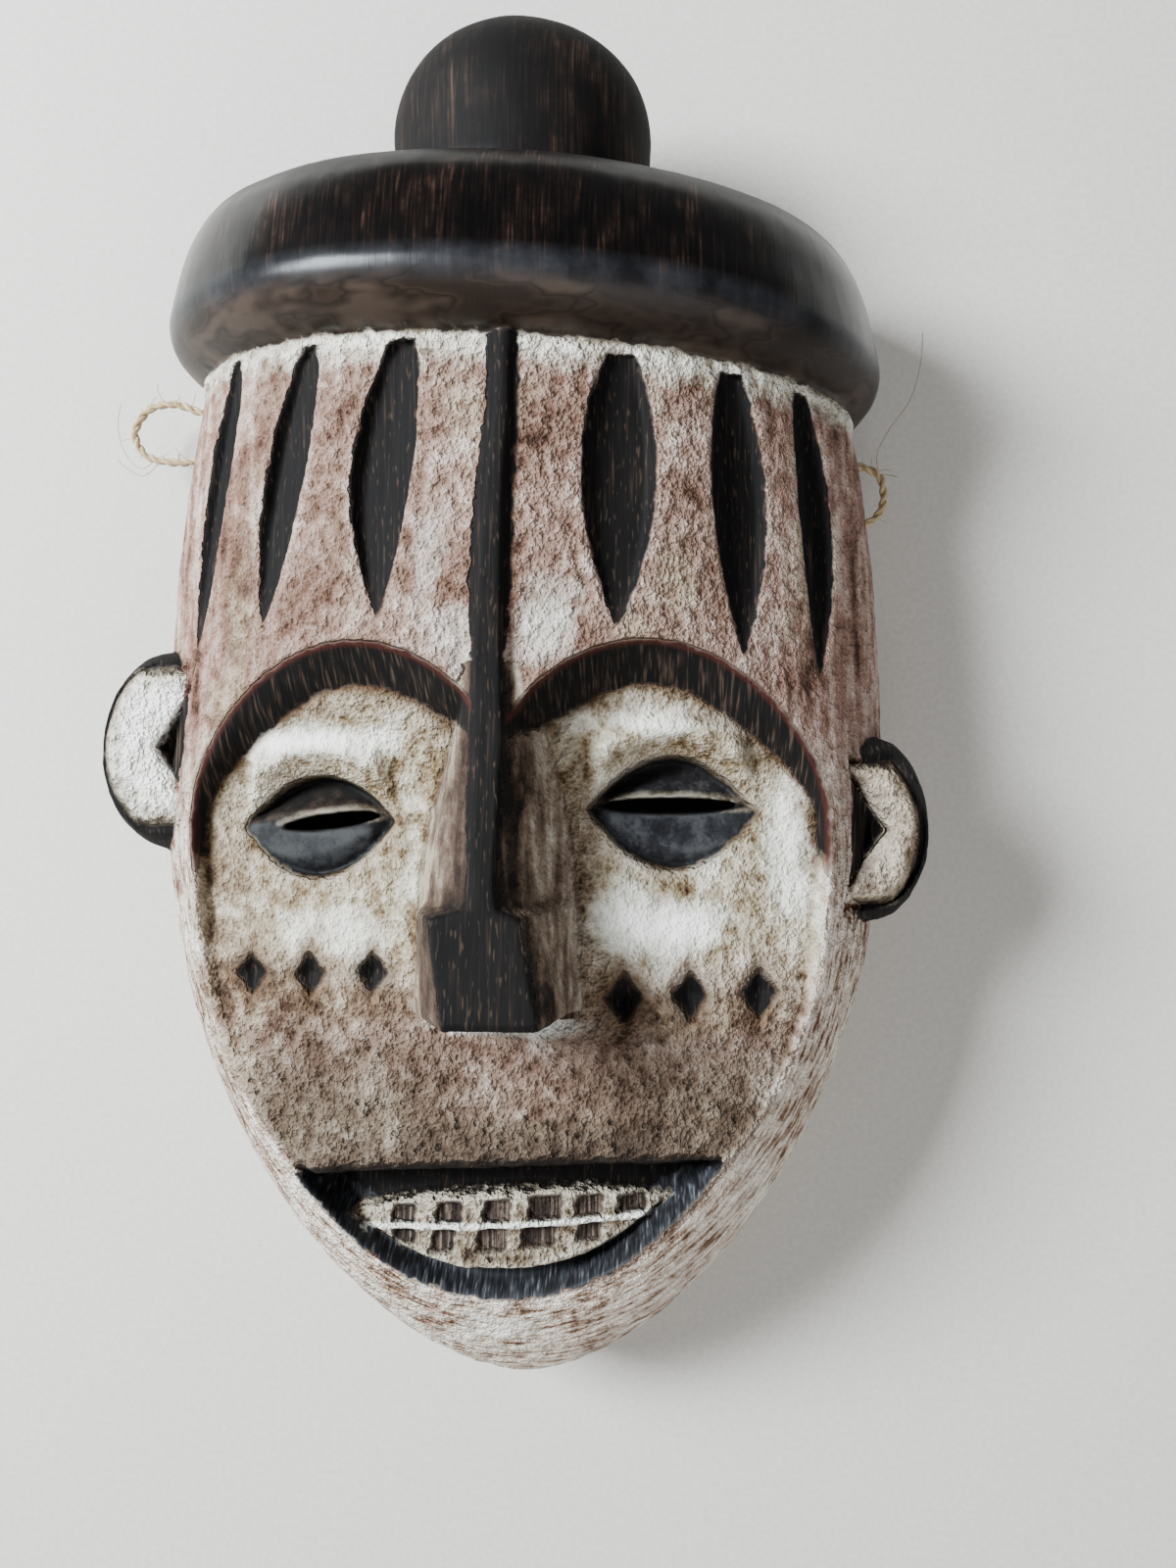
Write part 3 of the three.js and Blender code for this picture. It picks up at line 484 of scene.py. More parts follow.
def teeth_height(x, y):
    """Top of the toothed lens: a rounded bar between the rows and a rounded lip below them."""
    depth, up, side = in_lens(x, y, **TEETH, fullness=2.4)
    bar = np.exp(-(((y - TEETH_BAR_LEVEL - TEETH_BAR_LEAN * x) / 0.9) ** 2))
    lip = np.exp(-(((depth - 1.5) / 1.1) ** 2))
    top = 53.4 - 6.2 * side ** 2 + 1.0 * bar + np.where(up < 0.5, 0.8, 0.35) * lip
    top = top - NOTCH_DEPTH * smooth_step(-0.3, 0.5, in_notch(x, y))
    return top - 2.0 * (1 - smooth_step(0, 1.3, depth))


def mouth_height(x, y, face, block):
    """Floor of the mouth lens with its walls, and the teeth that stand in it."""
    depth, up, side = in_lens(x, y, **MOUTH, fullness=2.1)
    floor = 47.5 - 6.5 * side ** 2
    under_shelf = face + (floor - face) * smooth_step(-SHELF_ROUNDING, 4.0, depth)
    over_chin = block - 0.4 + (floor - block + 0.4) * smooth_step(0, 3.4, depth)
    teeth_depth = in_lens(x, y, **TEETH, fullness=2.4)[0]
    teeth = np.where(teeth_depth > -0.7, teeth_height(x, y) + np.minimum(teeth_depth, 0) * 9, 0)
    cut = np.where(depth > 0, np.maximum(np.where(up > 0.5, under_shelf, over_chin), teeth), face)
    shelf = (depth > -SHELF_ROUNDING) & (depth <= 0) & (up > 0.5) & (inside_distance(x, y, RECESS) > 0)
    return np.where(shelf, under_shelf, cut)


# %% Eyes and cheek scars
LID_SHARE = [0, 0.06, 0.16, 0.3, 0.42, 0.49, 0.54, 0.58, 0.63, 0.7, 0.8, 0.93, 1]
LID_RISE = [-3.0, -1.6, 0.4, 1.5, 1.4, 0.4, 0.4, 1.3, 0.8, -2.0, -4.6, -6.2, -5.4]
SCAR_DEPTH = 3.0
SCARS = [
    (7.4, 9.4, [(-58.7, -42.8), (-44.8, -42.6), (-30.2, -42.2)]),
    (8.2, 11.0, [(26, -47.2), (40.4, -46.8), (55.9, -46.2)]),
]


def eye_height(x, y, eye, face):
    """Sunk edge, swelling lower lid, lid line over the slit and a hollow above it."""
    depth, up, side = in_lens(x, y, **eye)
    rise = np.interp(up, LID_SHARE, LID_RISE)
    corner = 1 - smooth_step(0.62, 1.0, np.abs(side))
    floor = face_height(*eye["centre"]) + 0.5 + (rise * corner - 2.4 * (1 - corner))
    fold = 3.6 * np.exp(-(((depth + 5.6) / 3.4) ** 2)) * smooth_step(0.45, 0.85, up)
    fold = fold * (1 - smooth_step(0.72, 1.0, np.abs(side)))
    around = face + np.where(depth > -16, fold * (1 - smooth_step(60, 69, face)), 0)
    inside = around + (np.minimum(floor, around + 0.4) - around) * smooth_step(0, 1.2, depth)
    return np.where(depth > 0, inside, around)


def in_scars(x, y):
    """Share of the way into the nearest diamond scar, and millimetres inside it."""
    share = np.full(np.shape(x), -9.0)
    reach = np.full(np.shape(x), -9.0)
    for width, height, places in SCARS:
        for middle, level in places:
            into = 1 - np.abs(x - middle) / (width / 2) - np.abs(y - level) / (height / 2)
            share = np.maximum(share, into)
            reach = np.maximum(reach, into * width * height / 2 / math.hypot(width, height))
    return share, reach


# %% [markdown]
# The ridge runs down from the cap between the brows and widens into the nose, a wedge with
# sloping sides that ends in a square front pad. It is a row of sections, each with its middle,
# half width on top, half width at the foot, and height.

# %% Ridge and nose
# Level, bar middle, half width, height, then from the bar's middle: left shoulder and its height,
# right shoulder and its height, left foot, right foot.
RIDGE_ROWS = np.array([
    (100, 1.4, 1.1, 77.6, 2.2, 75.2, 2.2, 75.2, 2.8, 2.8),
    (78, 0.8, 1.5, 77.9, 2.6, 75.4, 2.6, 75.4, 3.3, 3.3),
    (60, -0.8, 1.9, 78.2, 3.0, 75.6, 3.0, 75.6, 3.8, 3.8),
    (40, -1.8, 2.3, 78.6, 3.5, 75.8, 3.5, 75.8, 4.4, 4.4),
    (22, -1.9, 2.7, 78.9, 4.6, 75.2, 4.4, 75.2, 7.0, 7.0),
    (12, -1.8, 3.0, 79.8, 6.8, 75.4, 5.2, 76.0, 10.2, 11.0),
    (-5, -2.2, 2.8, 82.2, 9.8, 73.0, 5.8, 76.8, 14.6, 15.6),
    (-20, -2.4, 2.4, 84.4, 12.6, 71.5, 6.4, 77.2, 17.4, 18.0),
    (-25.4, -2.2, 2.8, 85.0, 12.8, 72.5, 7.2, 78.0, 17.8, 18.2),
    (-27.0, -4.0, 8.6, 85.4, 14.2, 72.0, 11.5, 80.0, 15.4, 20.4),
    (-38, -2.0, 8.8, 87.4, 16.4, 70.0, 11.4, 81.0, 18.0, 18.4),
    (-47.8, 0.1, 8.9, 89.4, 19.0, 71.0, 11.0, 82.5, 20.9, 17.0),
    (-49.6, 0.1, 8.7, 88.0, 18.8, 70.0, 10.8, 81.5, 20.7, 16.9),
])[::-1]
NOSE_END, NOSE_UNDERCUT = -49.6, 1.5
NOSE_FOOT_HEIGHT = 57.0
BAR_EDGE, BAR_STEP = 0.7, 1.7


def ridge_rows(y):
    return [np.interp(y, RIDGE_ROWS[:, 0], RIDGE_ROWS[:, i]) for i in range(1, 10)]


def ridge_height(x, y):
    """Top of the ridge and nose, far below the face where there is none."""
    middle, half, top, left, left_top, right, right_top, left_foot, right_foot = ridge_rows(y)
    step = BAR_STEP * smooth_step(-27.5, -24.5, y)
    corners = [
        (middle - left_foot, NOSE_FOOT_HEIGHT + 0 * y), (middle - left, left_top),
        (middle - half - BAR_EDGE, top - step), (middle - half, top),
        (middle + half, top), (middle + half + BAR_EDGE, top - step),
        (middle + right, right_top), (middle + right_foot, NOSE_FOOT_HEIGHT + 0 * y),
    ]
    height = corners[0][1]
    for (near, low), (far, high) in zip(corners, corners[1:]):
        height = height + (high - low) * np.clip((x - near) / np.maximum(far - near, 0.05), 0, 1)
    beyond = np.clip(corners[0][0] - x, 0, None) + np.clip(x - corners[-1][0], 0, None)
    end = np.clip((NOSE_END - y) / NOSE_UNDERCUT, 0, 1)
    return np.where(y > NOSE_END - NOSE_UNDERCUT, height - 3 * beyond - end * 34, 0)


# %% [markdown]
# Six leaf-shaped flutes fan out over the forehead below the cap. Each is sunk square to the
# surface, with a nearly flat floor and a crisp edge.

# %% Forehead flutes
FLUTE_TOP_LEVEL, CAP_EDGE_LEVEL, CAP_LEAN = 99.0, 94.2, -0.066
FLUTES = [
    (-18.6, -25.2, -26, 35.2, 6.9, 3.6), (25.6, 25.4, 24.8, 33, 8, 3.8),
    (-40.8, -48.6, -53.6, 34.2, 5.4, 3.4), (47.4, 51.2, 51.8, 28, 6.6, 3.6),
    (-61.6, -68.2, -72.6, 31.6, 4.2, 2.8), (62.4, 69, 69.2, 23.4, 5, 3),
]


def in_flutes(x, y):
    """Millimetres inside the nearest flute, and how deep it is sunk there."""
    reach = np.full(np.shape(x), -9.0)
    sunk = np.zeros(np.shape(x))
    lean = 1 / np.sqrt(1 + block_slopes(x, y)[0] ** 2)
    for top_x, middle_x, tip_x, tip_y, half_width, depth in FLUTES:
        share = (FLUTE_TOP_LEVEL - y) / (FLUTE_TOP_LEVEL - tip_y)
        near = np.clip(share, 0, 1)
        head_y = CAP_EDGE_LEVEL + CAP_LEAN * middle_x - 2.2
        down = np.clip((head_y - y) / (head_y - tip_y), 0, 1)
        bow = 4 * near * (1 - near) * (middle_x - (top_x + tip_x) / 2)
        centre = top_x + (tip_x - top_x) * near + bow
        opening = np.clip(np.sin(np.pi * (0.1 + 0.9 * down ** 0.94)), 1e-4, 1) ** 0.85
        across = np.abs(x - centre) / lean
        inside = np.minimum(half_width * opening - across, 1.6 * (head_y - y))
        inside = np.where(y < tip_y, y - tip_y - across, inside)
        inside = np.where(y > head_y, head_y - y - across, inside)
        reach = np.maximum(reach, inside)
        part = np.clip(across / np.maximum(half_width * opening, 0.2), 0, 1)
        profile = np.interp(part, [0, 0.76, 0.9, 1], [1, 0.88, 0.74, 0])
        sunk = np.maximum(sunk, np.where(inside > 0, depth * opening * profile, 0))
    return reach, sunk


# %% [markdown]
# All cuts together give one height for every place of the front. The cuts follow one another as
# in the solid: recess, nose, mouth, teeth, eyes, scars.

# %% The carved front
def carved_height(x, y):
    block = block_height(x, y)
    inside = inside_distance(x, y, RECESS)
    share = np.clip(inside / bevel_width(x, y), 0, 1)
    floor = np.minimum(face_height(x, y), block - 0.8)
    height = block + (floor - block) * (share ** 0.92)
    ridge = ridge_height(x, y)
    fillet = 0.3 + 1.4 * (1 - smooth_step(0, 24, y))
    apart = height - ridge
    blend = 0.5 * (height + ridge + np.sqrt(apart ** 2 + fillet ** 2))
    height = np.where(apart < 14, blend, height)
    height = mouth_height(x, y, height, block)
    for eye in EYES:
        height = eye_height(x, y, eye, height)
    return height - SCAR_DEPTH * np.clip(in_scars(x, y)[0], 0, 1)


# %% [markdown]
# The head starts as a flat grid primitive. Its rows become sections of the head and its columns
# run evenly round each section, so the steep flanks get as many faces as the front. Then every
# point moves to the height that the carving has there.

# %% Wrap a grid round the head
FINE = 0.62
CHIN_ROWS, TOP_ROWS = int(205 / FINE), int(100 / FINE)
HALF_COLUMNS, FLANK_COLUMNS = int(118 / FINE), int(16 / FINE)


def section_ring(y):
    """Points of one section, evenly spaced over the front, then down each flank."""
    half_width, crown, power = float(head_half_width(y)), float(crown_height(y)), float(section_power(y))
    rise = crown - WIDEST_HEIGHT
    flat = np.linspace(0, 1, 240)
    over = np.concatenate([flat, (1 - flat ** SHOULDER_POWER) ** (1 / power)])
    over = np.unique(np.clip(over, 0, 1))
    x = half_width * over
    z = WIDEST_HEIGHT + rise * (1 - over ** power) ** (1 / SHOULDER_POWER)
    along = np.concatenate([[0], np.cumsum(np.hypot(np.diff(x), np.diff(z)))])
    wanted = np.linspace(0, along[-1], HALF_COLUMNS)
    x, z = np.interp(wanted, along, x), np.interp(wanted, along, z)
    narrow = min(RIM_TAPER, half_width * 0.5)
    drop = np.linspace(0, 1, FLANK_COLUMNS + 1)[1:]
    flank_x = half_width - narrow * np.interp(drop, [0, 0.5, 1], [0, 0.25, 1])
    x, z = np.concatenate([x, flank_x]), np.concatenate([z, WIDEST_HEIGHT * (1 - drop)])
    ring_x, ring_z = np.concatenate([-x[::-1], x[1:]]), np.concatenate([z[::-1], z[1:]])
    return np.stack([ring_x, np.full(ring_x.shape, y), ring_z], axis=1)


angles = np.linspace(0.012, np.pi / 2, CHIN_ROWS)
levels = np.concatenate([-CHIN_REACH * np.cos(angles), np.linspace(0, HEAD_TOP_LEVEL, TOP_ROWS)[1:]])
head_rings = np.array([section_ring(y) for y in levels])
x, y, z = head_rings[..., 0], head_rings[..., 1], head_rings[..., 2]
front = (z > WIDEST_HEIGHT + 0.2) & (y < HEAD_TOP_LEVEL - 1)
carved = np.where(front, carved_height(x, y), z)
z_front = np.where(front & (np.abs(carved - block_height(x, y)) > 1e-6), carved, z)
slope_x, slope_y = block_slopes(x, y)
_, sunk = in_flutes(x, y)
sunk = np.where(front, sunk, 0)
length = np.sqrt(1 + slope_x ** 2)
head_rings = np.stack([x + sunk * slope_x / length, y, z_front - sunk / length], axis=-1)
mask_piece = wrapped_grid("carved_mask", head_rings)
print("head grid", head_rings.shape, "triangles", triangles_of(mask_piece))

# %% [markdown]
# Cap and knob are turned shapes in their own way: the cap is a D-shaped section whose edge is
# rolled over, the knob a dome on a short neck. Each is a grid wrapped round, with the same
# profile as the solid but many more steps.

# %% Cap and knob
CAP_HALF_WIDTH, CAP_FRONT_HEIGHT, CAP_WIDEST_HEIGHT = 88.6, 88.0, 20.0
CAP_EDGE = [
    (21, 94.2), (14.5, 94.3), (9, 95.2), (4.6, 97.4), (1.4, 100.6), (0, 104.4), (0.6, 109),
    (2, 114.6), (4, 121), (7, 127.2), (11.4, 132), (17.6, 134.8), (26, 135.4),
]
KNOB_CENTRE, KNOB_RADIUS, KNOB_TOP = (1.6, 151.4, 40.0), 30.4, 25.0


def cap_rings():
    edge = smooth_curve([(inset, level, 0) for inset, level in CAP_EDGE], 7)[:, :2]
    turn = np.linspace(0, np.pi, 260)
    rings = []
    for inset, level in edge:
        half_width = CAP_HALF_WIDTH - inset * 0.9
        x = half_width * np.cos(turn)
        z = CAP_WIDEST_HEIGHT + (CAP_FRONT_HEIGHT - inset - CAP_WIDEST_HEIGHT) * np.sin(turn)
        down = np.linspace(0, 1, 16)[1:]
        left = np.stack([-half_width + 1.6 * down ** 1.6, CAP_WIDEST_HEIGHT * (1 - down)], axis=1)
        x = np.concatenate([x, left[:, 0], -left[::-1, 0]])
        z = np.concatenate([z, left[:, 1], left[::-1, 1]])
        rings.append(np.stack([x, level + CAP_LEAN * x, z], axis=1))
    return np.array(rings)


def knob_rings():
    rise = np.linspace(0, np.pi / 2, 46)
    levels = np.concatenate([np.linspace(-22, 0, 14)[:-1], KNOB_TOP * np.sin(rise)])
    shares = np.concatenate([
        np.interp(np.linspace(-22, 0, 14)[:-1], [-22, -8, 0], [0.93, 0.985, 1]),
        np.maximum(0.01, np.cos(rise) ** 0.96),
    ])
    turn = np.linspace(0, 2 * np.pi, 150, endpoint=False)
    x = KNOB_CENTRE[0] + KNOB_RADIUS * shares[:, None] * np.cos(turn)
    z = KNOB_CENTRE[2] + KNOB_RADIUS * shares[:, None] * np.sin(turn)
    return np.stack([x, np.broadcast_to(KNOB_CENTRE[1] + levels[:, None], x.shape), z], axis=-1)


cap_piece = wrapped_grid("cap_block", cap_rings())
knob_piece = wrapped_grid("knob_block", knob_rings())
print("cap", triangles_of(cap_piece), "knob", triangles_of(knob_piece))

# %% [markdown]
# Each ear is a C-shaped slab against the cheek: an outer bevel, then a raised roll, then a small
# three-cornered pit beside the head.

# %% Ears
# Side, middle across and along, reach and half height.
EARS = [(-1, 79.6, 8.0, 18.8, 23.8), (1, 79.4, -10.4, 16.6, 21.6)]
EAR_FRONT, EAR_BACK, EAR_PIT_DEPTH = 52.0, 34.0, 6.0
EAR_ROOT = -9.0
PIT_CORNERS = {-1: [(-7, 17), (4.0, 0.6), (-7, -16)], 1: [(-7, 18), (5.6, 0), (-7, -17)]}
# Width of the black bevel beside, above and below each roll, and how far the roll falls away.
ROLLS = {-1: (2.0, 5.6, 8.6, 1.2), 1: (2.8, 8.8, 5.0, 3.0)}


def ear_rings(side, centre_x, centre_y, reach, half_height):
    levels = smooth_curve([
        (EAR_BACK, 3, 3), (EAR_BACK + 4, 0.6, 0.6), (EAR_FRONT - 9, 0, 0),
        (EAR_FRONT - 2.6, 1.6, 3.4), (EAR_FRONT, 4, 6.6),
    ], 6)
    turn = np.linspace(-np.pi / 2, np.pi / 2, 90)
    rings = []
    for z, inset, trim in levels:
        out = (reach - inset) * np.clip(np.cos(turn), 0, 1) ** 0.8
        x = np.concatenate([centre_x + out, [centre_x + EAR_ROOT] * 2])
        y = np.concatenate([
            centre_y + (half_height - trim) * np.sin(turn),
            [centre_y + half_height * 0.7, centre_y - half_height * 0.7],
        ])
        rings.append(np.stack([side * x, y, np.full(x.shape, z)], axis=1))
    return np.array(rings)


def ear_pit(side, centre_x, centre_y):
    rings = []
    for z, grow in ((EAR_FRONT - EAR_PIT_DEPTH, 0.82), (EAR_FRONT - 2, 1.0), (EAR_FRONT + 6, 1.3)):
        ring = [(side * (centre_x + px * grow), centre_y + py * grow, z) for px, py in PIT_CORNERS[side]]
        rings.append(ring)
    return np.array(rings)


ear_pieces, pit_pieces = [], []
for side, centre_x, centre_y, reach, half_height in EARS:
    ear_pieces.append(wrapped_grid("ear_block", ear_rings(side, centre_x, centre_y, reach, half_height)))
    pit_pieces.append(wrapped_grid("ear_pit", ear_pit(side, centre_x, centre_y)))

# %% [markdown]
# The back is hollowed with a gouge. The hollow is one more wrapped grid, and it is taken away
# from the head with a Boolean modifier. The eye slits and the four twine holes are cut in the
# same way, so they are real openings that light comes through.

# %% Hollow, slits and twine holes
def hollow_height(y):
    brow = HOLLOW_HEIGHT + HOLLOW_FOREHEAD_LIFT * smooth_step(2, 40, y)
    chin = np.clip(y / HOLLOW_CHIN_LEVEL, 0, 1)
    end = np.clip((y - 80) / (HOLLOW_TOP_LEVEL - 80), 0, 1)
    return np.where(y < 0, HOLLOW_HEIGHT * (1 - chin ** 5) ** 0.7, brow * (1 - 0.6 * end ** 2.5))


def hollow_half_width(y):
    end = np.clip((y - 88) / (HOLLOW_TOP_LEVEL - 88), 0, 1)
    reach = np.clip(y / HOLLOW_CHIN_LEVEL, 0, 1) ** 2.3
    plain = head_half_width(np.maximum(y, 0)) - WALL
    return np.where(y < 0, plain * (1 - reach) ** (1 / 1.7), plain - 22 * end ** 2)


def hollow_rings():
    chin = HOLLOW_CHIN_LEVEL * 0.995 * np.cos(np.linspace(0, np.pi / 2, 60))
    rings = []
    for y in np.concatenate([chin, np.linspace(0, HOLLOW_TOP_LEVEL, 50)[1:]]):
        half_width = max(1.0, float(hollow_half_width(y)))
        rise = max(1.0, float(hollow_height(y)) - 4)
        turn = np.linspace(0, np.pi, 80)
        x = half_width * np.sign(np.cos(turn)) * np.abs(np.cos(turn)) ** 0.8
        z = 4 + rise * np.sin(turn) ** 0.95
        x, z = np.concatenate([x, [-half_width, half_width]]), np.concatenate([z, [-6, -6]])
        rings.append(np.stack([x, np.full(x.shape, y), z], axis=1))
    return np.array(rings)


def lens_prism(centre, half_width, rise, drop, lean, fullness=2.8):
    side = np.concatenate([np.linspace(-0.995, 0.995, 40), np.linspace(0.995, -0.995, 40)])
    opening = 1 - np.abs(side) ** fullness
    edge = np.where(np.arange(80) < 40, -drop, rise) * opening
    x = centre[0] + half_width * side
    y = centre[1] + edge + lean * half_width * side
    return np.array([np.stack([x, y, np.full(80, z)], axis=1) for z in (20.0, 60.0, 75.0)])


def twine_bore(side, level):
    turn = np.linspace(0, 2 * np.pi, 20, endpoint=False)
    middle = float(head_half_width(level)) - 8
    rings = []
    for x in (middle - 17, middle, middle + 17):
        ring = np.stack([np.full(20, side * x), level + 2 * np.cos(turn), 13 + 2 * np.sin(turn)], axis=1)
        rings.append(ring)
    return np.array(rings)


def cut_away(piece, tool):
    modify(piece, "BOOLEAN", operation="DIFFERENCE", object=tool, solver="MANIFOLD")
    bpy.data.objects.remove(tool)


def join_on(piece, part):
    modify(piece, "BOOLEAN", operation="UNION", object=part, solver="MANIFOLD")
    bpy.data.objects.remove(part)


for ear, pit in zip(ear_pieces, pit_pieces):
    cut_away(ear, pit)
    join_on(mask_piece, ear)
join_on(mask_piece, cap_piece)
join_on(mask_piece, knob_piece)
cut_away(mask_piece, wrapped_grid("hollow", hollow_rings()))
for slit in SLITS:
    cut_away(mask_piece, wrapped_grid("slit", lens_prism(**slit)))
for side, level in ((-1, 98), (-1, 85.6), (1, 82), (1, 66.4)):
    cut_away(mask_piece, wrapped_grid("bore", twine_bore(side, level)))
print("joined", triangles_of(mask_piece))

# %% [markdown]
# Wood has no perfectly sharp edges. A voxel remesh makes one even skin over the whole carving and
# takes the sharpness off every edge, as years of handling do. After it, the carving is one
# closed mesh with faces of the same size everywhere, ready for fine relief.

# %% One even skin
modify(mask_piece, "REMESH", mode="VOXEL", voxel_size=FINE * MM, adaptivity=0)
print("remeshed", triangles_of(mask_piece))

# %% [markdown]
# Everything that follows, relief and paint alike, asks where on the carving it is. One function
# answers with a signed distance in millimetres to each zone's edge, positive inside, and with
# soft shares for the changing tone of the clay.

# %% Carving zones, in millimetres
# Where the clay lies thick and white, and where it is worn and brown: place, reach and strength.
# In the white spreads, the thin bands over both eyes, the strip at the foot of the nose's left side
# and the spot on the right cheek under the eye are painted highlights; the rest is thick clay.
CHALK_AND_HIGHLIGHT = [
    (35, -31, 18, 7, 0.9), (62, -10, 6, 16, 0.8), (-38, -32, 20, 6, 0.55), (-46, 9.5, 22, 4, 1.0),
    (36, 14, 26, 5, 0.6), (1, -53, 17, 2.6, 1.0), (7, -64, 17, 7, 0.2), (-22, -12, 5, 22, 0.5),
    (0, -128, 22, 6, 0.45), (10, 34, 8, 12, 0.6), (-10, 30, 6, 10, 0.5), (60, -100, 9, 26, 0.5),
    (-14, 48, 6, 14, 0.45),
]
# In the brown spreads, the strip at the foot of the nose's right side is painted shade; the rest is grime.
GRIME_AND_SHADE = [
    (-62, -46, 16, 9, 0.95), (-36, -49, 26, 5, 0.8), (40, -51, 30, 6, 0.75), (16, -20, 6, 26, 0.8),
    (-65, -24, 9, 22, 0.7), (-66, -30, 8, 8, 1.0), (-62, 18, 12, 7, 0.8), (24, -24, 9, 8, 0.25),
    (38, 44, 8, 16, 0.55), (-60, 40, 7, 26, 0.7), (30, 32, 14, 6, 0.5), (66, 40, 8, 30, 0.45),
    (-34, 46, 8, 18, 0.45), (-66, -68, 10, 22, 0.5), (60, -72, 14, 18, 0.25),
    (-44, 17, 20, 3, 0.6), (40, 22, 20, 3, 0.35), (0, 80, 60, 10, 0.45), (62, -34, 10, 10, 0.2),
]


def zones(points):
    """Signed distances and shares that say what each place of the carving is."""
    x, y, z = points.T
    zone = {}
    inside = inside_distance(x, y, RECESS)
    zone["recess"] = inside
    hollow_top = 4 + np.maximum(hollow_height(y) - 4, 0) * np.clip(
        1 - (np.abs(x) / np.maximum(hollow_half_width(y), 1)) ** 2.5, 0, 1) ** 0.475
    in_hollow = np.minimum(hollow_half_width(y) + 1.2 - np.abs(x), hollow_top + 1.5 - z)
    in_hollow = np.minimum(in_hollow, np.minimum(y + 129, 111 - y))
    zone["bare"] = np.maximum(in_hollow, 0.6 - z)
    outer = np.where(zone["bare"] > 0, -9.0, 99.0)
    zone["cap"] = np.minimum(y - CAP_LEAN * x - CAP_EDGE_LEVEL + 0.1, outer)
    brow_edge = np.minimum(inside, bevel_width(x, y) - inside)
    brow = np.minimum(brow_edge, 0.45 * (y + 16))
    zone["brow"] = np.minimum(brow, z - 50)
    flute_reach = in_flutes(x, y)[0]
    zone["flute"] = np.where(inside < -1, flute_reach, -9.0)
    slits = [in_lens(x, y, **slit, fullness=2.8)[0] for slit in SLITS]
    zone["slit"] = np.maximum(slits[0], slits[1])
    middle, half, top, left, _, right, _, left_foot, right_foot = ridge_rows(y)
    on_forehead = smooth_step(26, 46, y)
    left_black = half + 0.7 + (left_foot - half - 0.4) * on_forehead
    right_black = half + 0.7 + (right_foot - half - 0.4) * on_forehead
    ridge = np.minimum(x - middle + left_black, middle + right_black - x)
    zone["ridge"] = np.where(y > NOSE_END - 2.2, np.minimum(ridge, z - 60), -9.0)
    flank = np.minimum(x - middle + left_foot, middle + right_foot - x)
    zone["nose"] = np.where((y > NOSE_END - 2.2) & (y < 26), np.minimum(flank, z - 57.5), -9.0)
    to_right = smooth_step(-1, 1, x - middle)
    out = np.abs(x - middle) - half
    foot = left_foot + (right_foot - left_foot) * to_right
    zone["flank"] = np.clip(out / np.maximum(foot - half, 1), 0, 1)
    zone["right"] = to_right
    mouth, up, side = in_lens(x, y, **MOUTH, fullness=2.1)
    zone["mouth"] = np.where(z > 38, mouth, -9.0)
    zone["shelf"] = np.where((up > 0.5) & (inside > 0), mouth, -20.0)
    zone["teeth"] = in_lens(x, y, **TEETH, fullness=2.4)[0]
    zone["notch"] = in_notch(x, y)
    zone["bar"] = 0.7 - np.abs(y - TEETH_BAR_LEVEL - TEETH_BAR_LEAN * x)
    zone["scar"] = in_scars(x, y)[1]
    eyes = [in_lens(x, y, **eye) for eye in EYES]
    zone["eye"] = np.maximum(eyes[0][0], eyes[1][0])
    zone["lid"] = np.where(eyes[0][0] > eyes[1][0], eyes[0][1], eyes[1][1])
    ear_roll = np.full(x.shape, -9.0)
    ear_all = np.full(x.shape, -9.0)
    ear_hole = np.full(x.shape, -9.0)
    for sign, centre_x, centre_y, reach, half_height in EARS:
        ex, ey = sign * x - centre_x, y - centre_y
        reach_here = reach * np.clip(1 - (ey / half_height) ** 2, 0, 1) ** 0.4
        edge = np.minimum(reach_here - ex, (half_height - np.abs(ey)) * 0.8)
        beside = np.minimum(z - block_height(x, y) - 0.6, half_height + 2 - np.abs(ey))
        ear_all = np.maximum(ear_all, np.where((sign * x > 70) & (z < EAR_FRONT + 1), beside, -9.0))
        beside_roll, above_roll, below_roll, _ = ROLLS[sign]
        end_trim = np.where(ey > 0, above_roll, below_roll) * 0.8
        trim = beside_roll + (end_trim - beside_roll) * np.clip(np.abs(ey) / half_height, 0, 1) ** 1.6
        ear_roll = np.maximum(ear_roll, np.where(sign * x > 60, edge - trim, -9.0))
        pit = inside_distance(sign * x, y, np.array(PIT_CORNERS[sign], float) + (centre_x, centre_y))
        ear_hole = np.maximum(ear_hole, pit)
    zone["ear"] = np.where(np.abs(y) < 36, ear_all, -9.0)
    zone["roll"] = ear_roll
    zone["pit"] = np.where(z < EAR_FRONT + 0.6, ear_hole, -9.0)
    within = smooth_step(-0.5, 1.5, inside)
    zone["pale"] = within * smooth_step(-62, -30, y)
    under_nose = np.exp(-(((x - 4) / 20) ** 2)) * (y > -74)
    zone["soil"] = within * (1 - smooth_step(-72, -38, y)) * (1 - 0.45 * under_nose)
    for name, places in (("chalk_and_highlight", CHALK_AND_HIGHLIGHT), ("grime_and_shade", GRIME_AND_SHADE)):
        spread = np.zeros(x.shape)
        for middle_x, middle_y, reach_x, reach_y, strength in places:
            apart = ((x - middle_x) / reach_x) ** 2 + ((y - middle_y) / reach_y) ** 2
            spread = np.maximum(spread, strength * np.exp(-apart))
        zone[name] = np.where(outer > 0, spread, 0)
    zone["round"] = 76 * np.arctan2(x, -(y + 10))
    # Red tint at the sides and bottom outside the face: red earth and a painted reflection of a red
    # surface.
    zone["red_earth_and_reflection"] = (1 - within) * np.clip(smooth_step(40, 80, np.abs(x)) + smooth_step(-10, -60, y), 0, 1)
    return zone


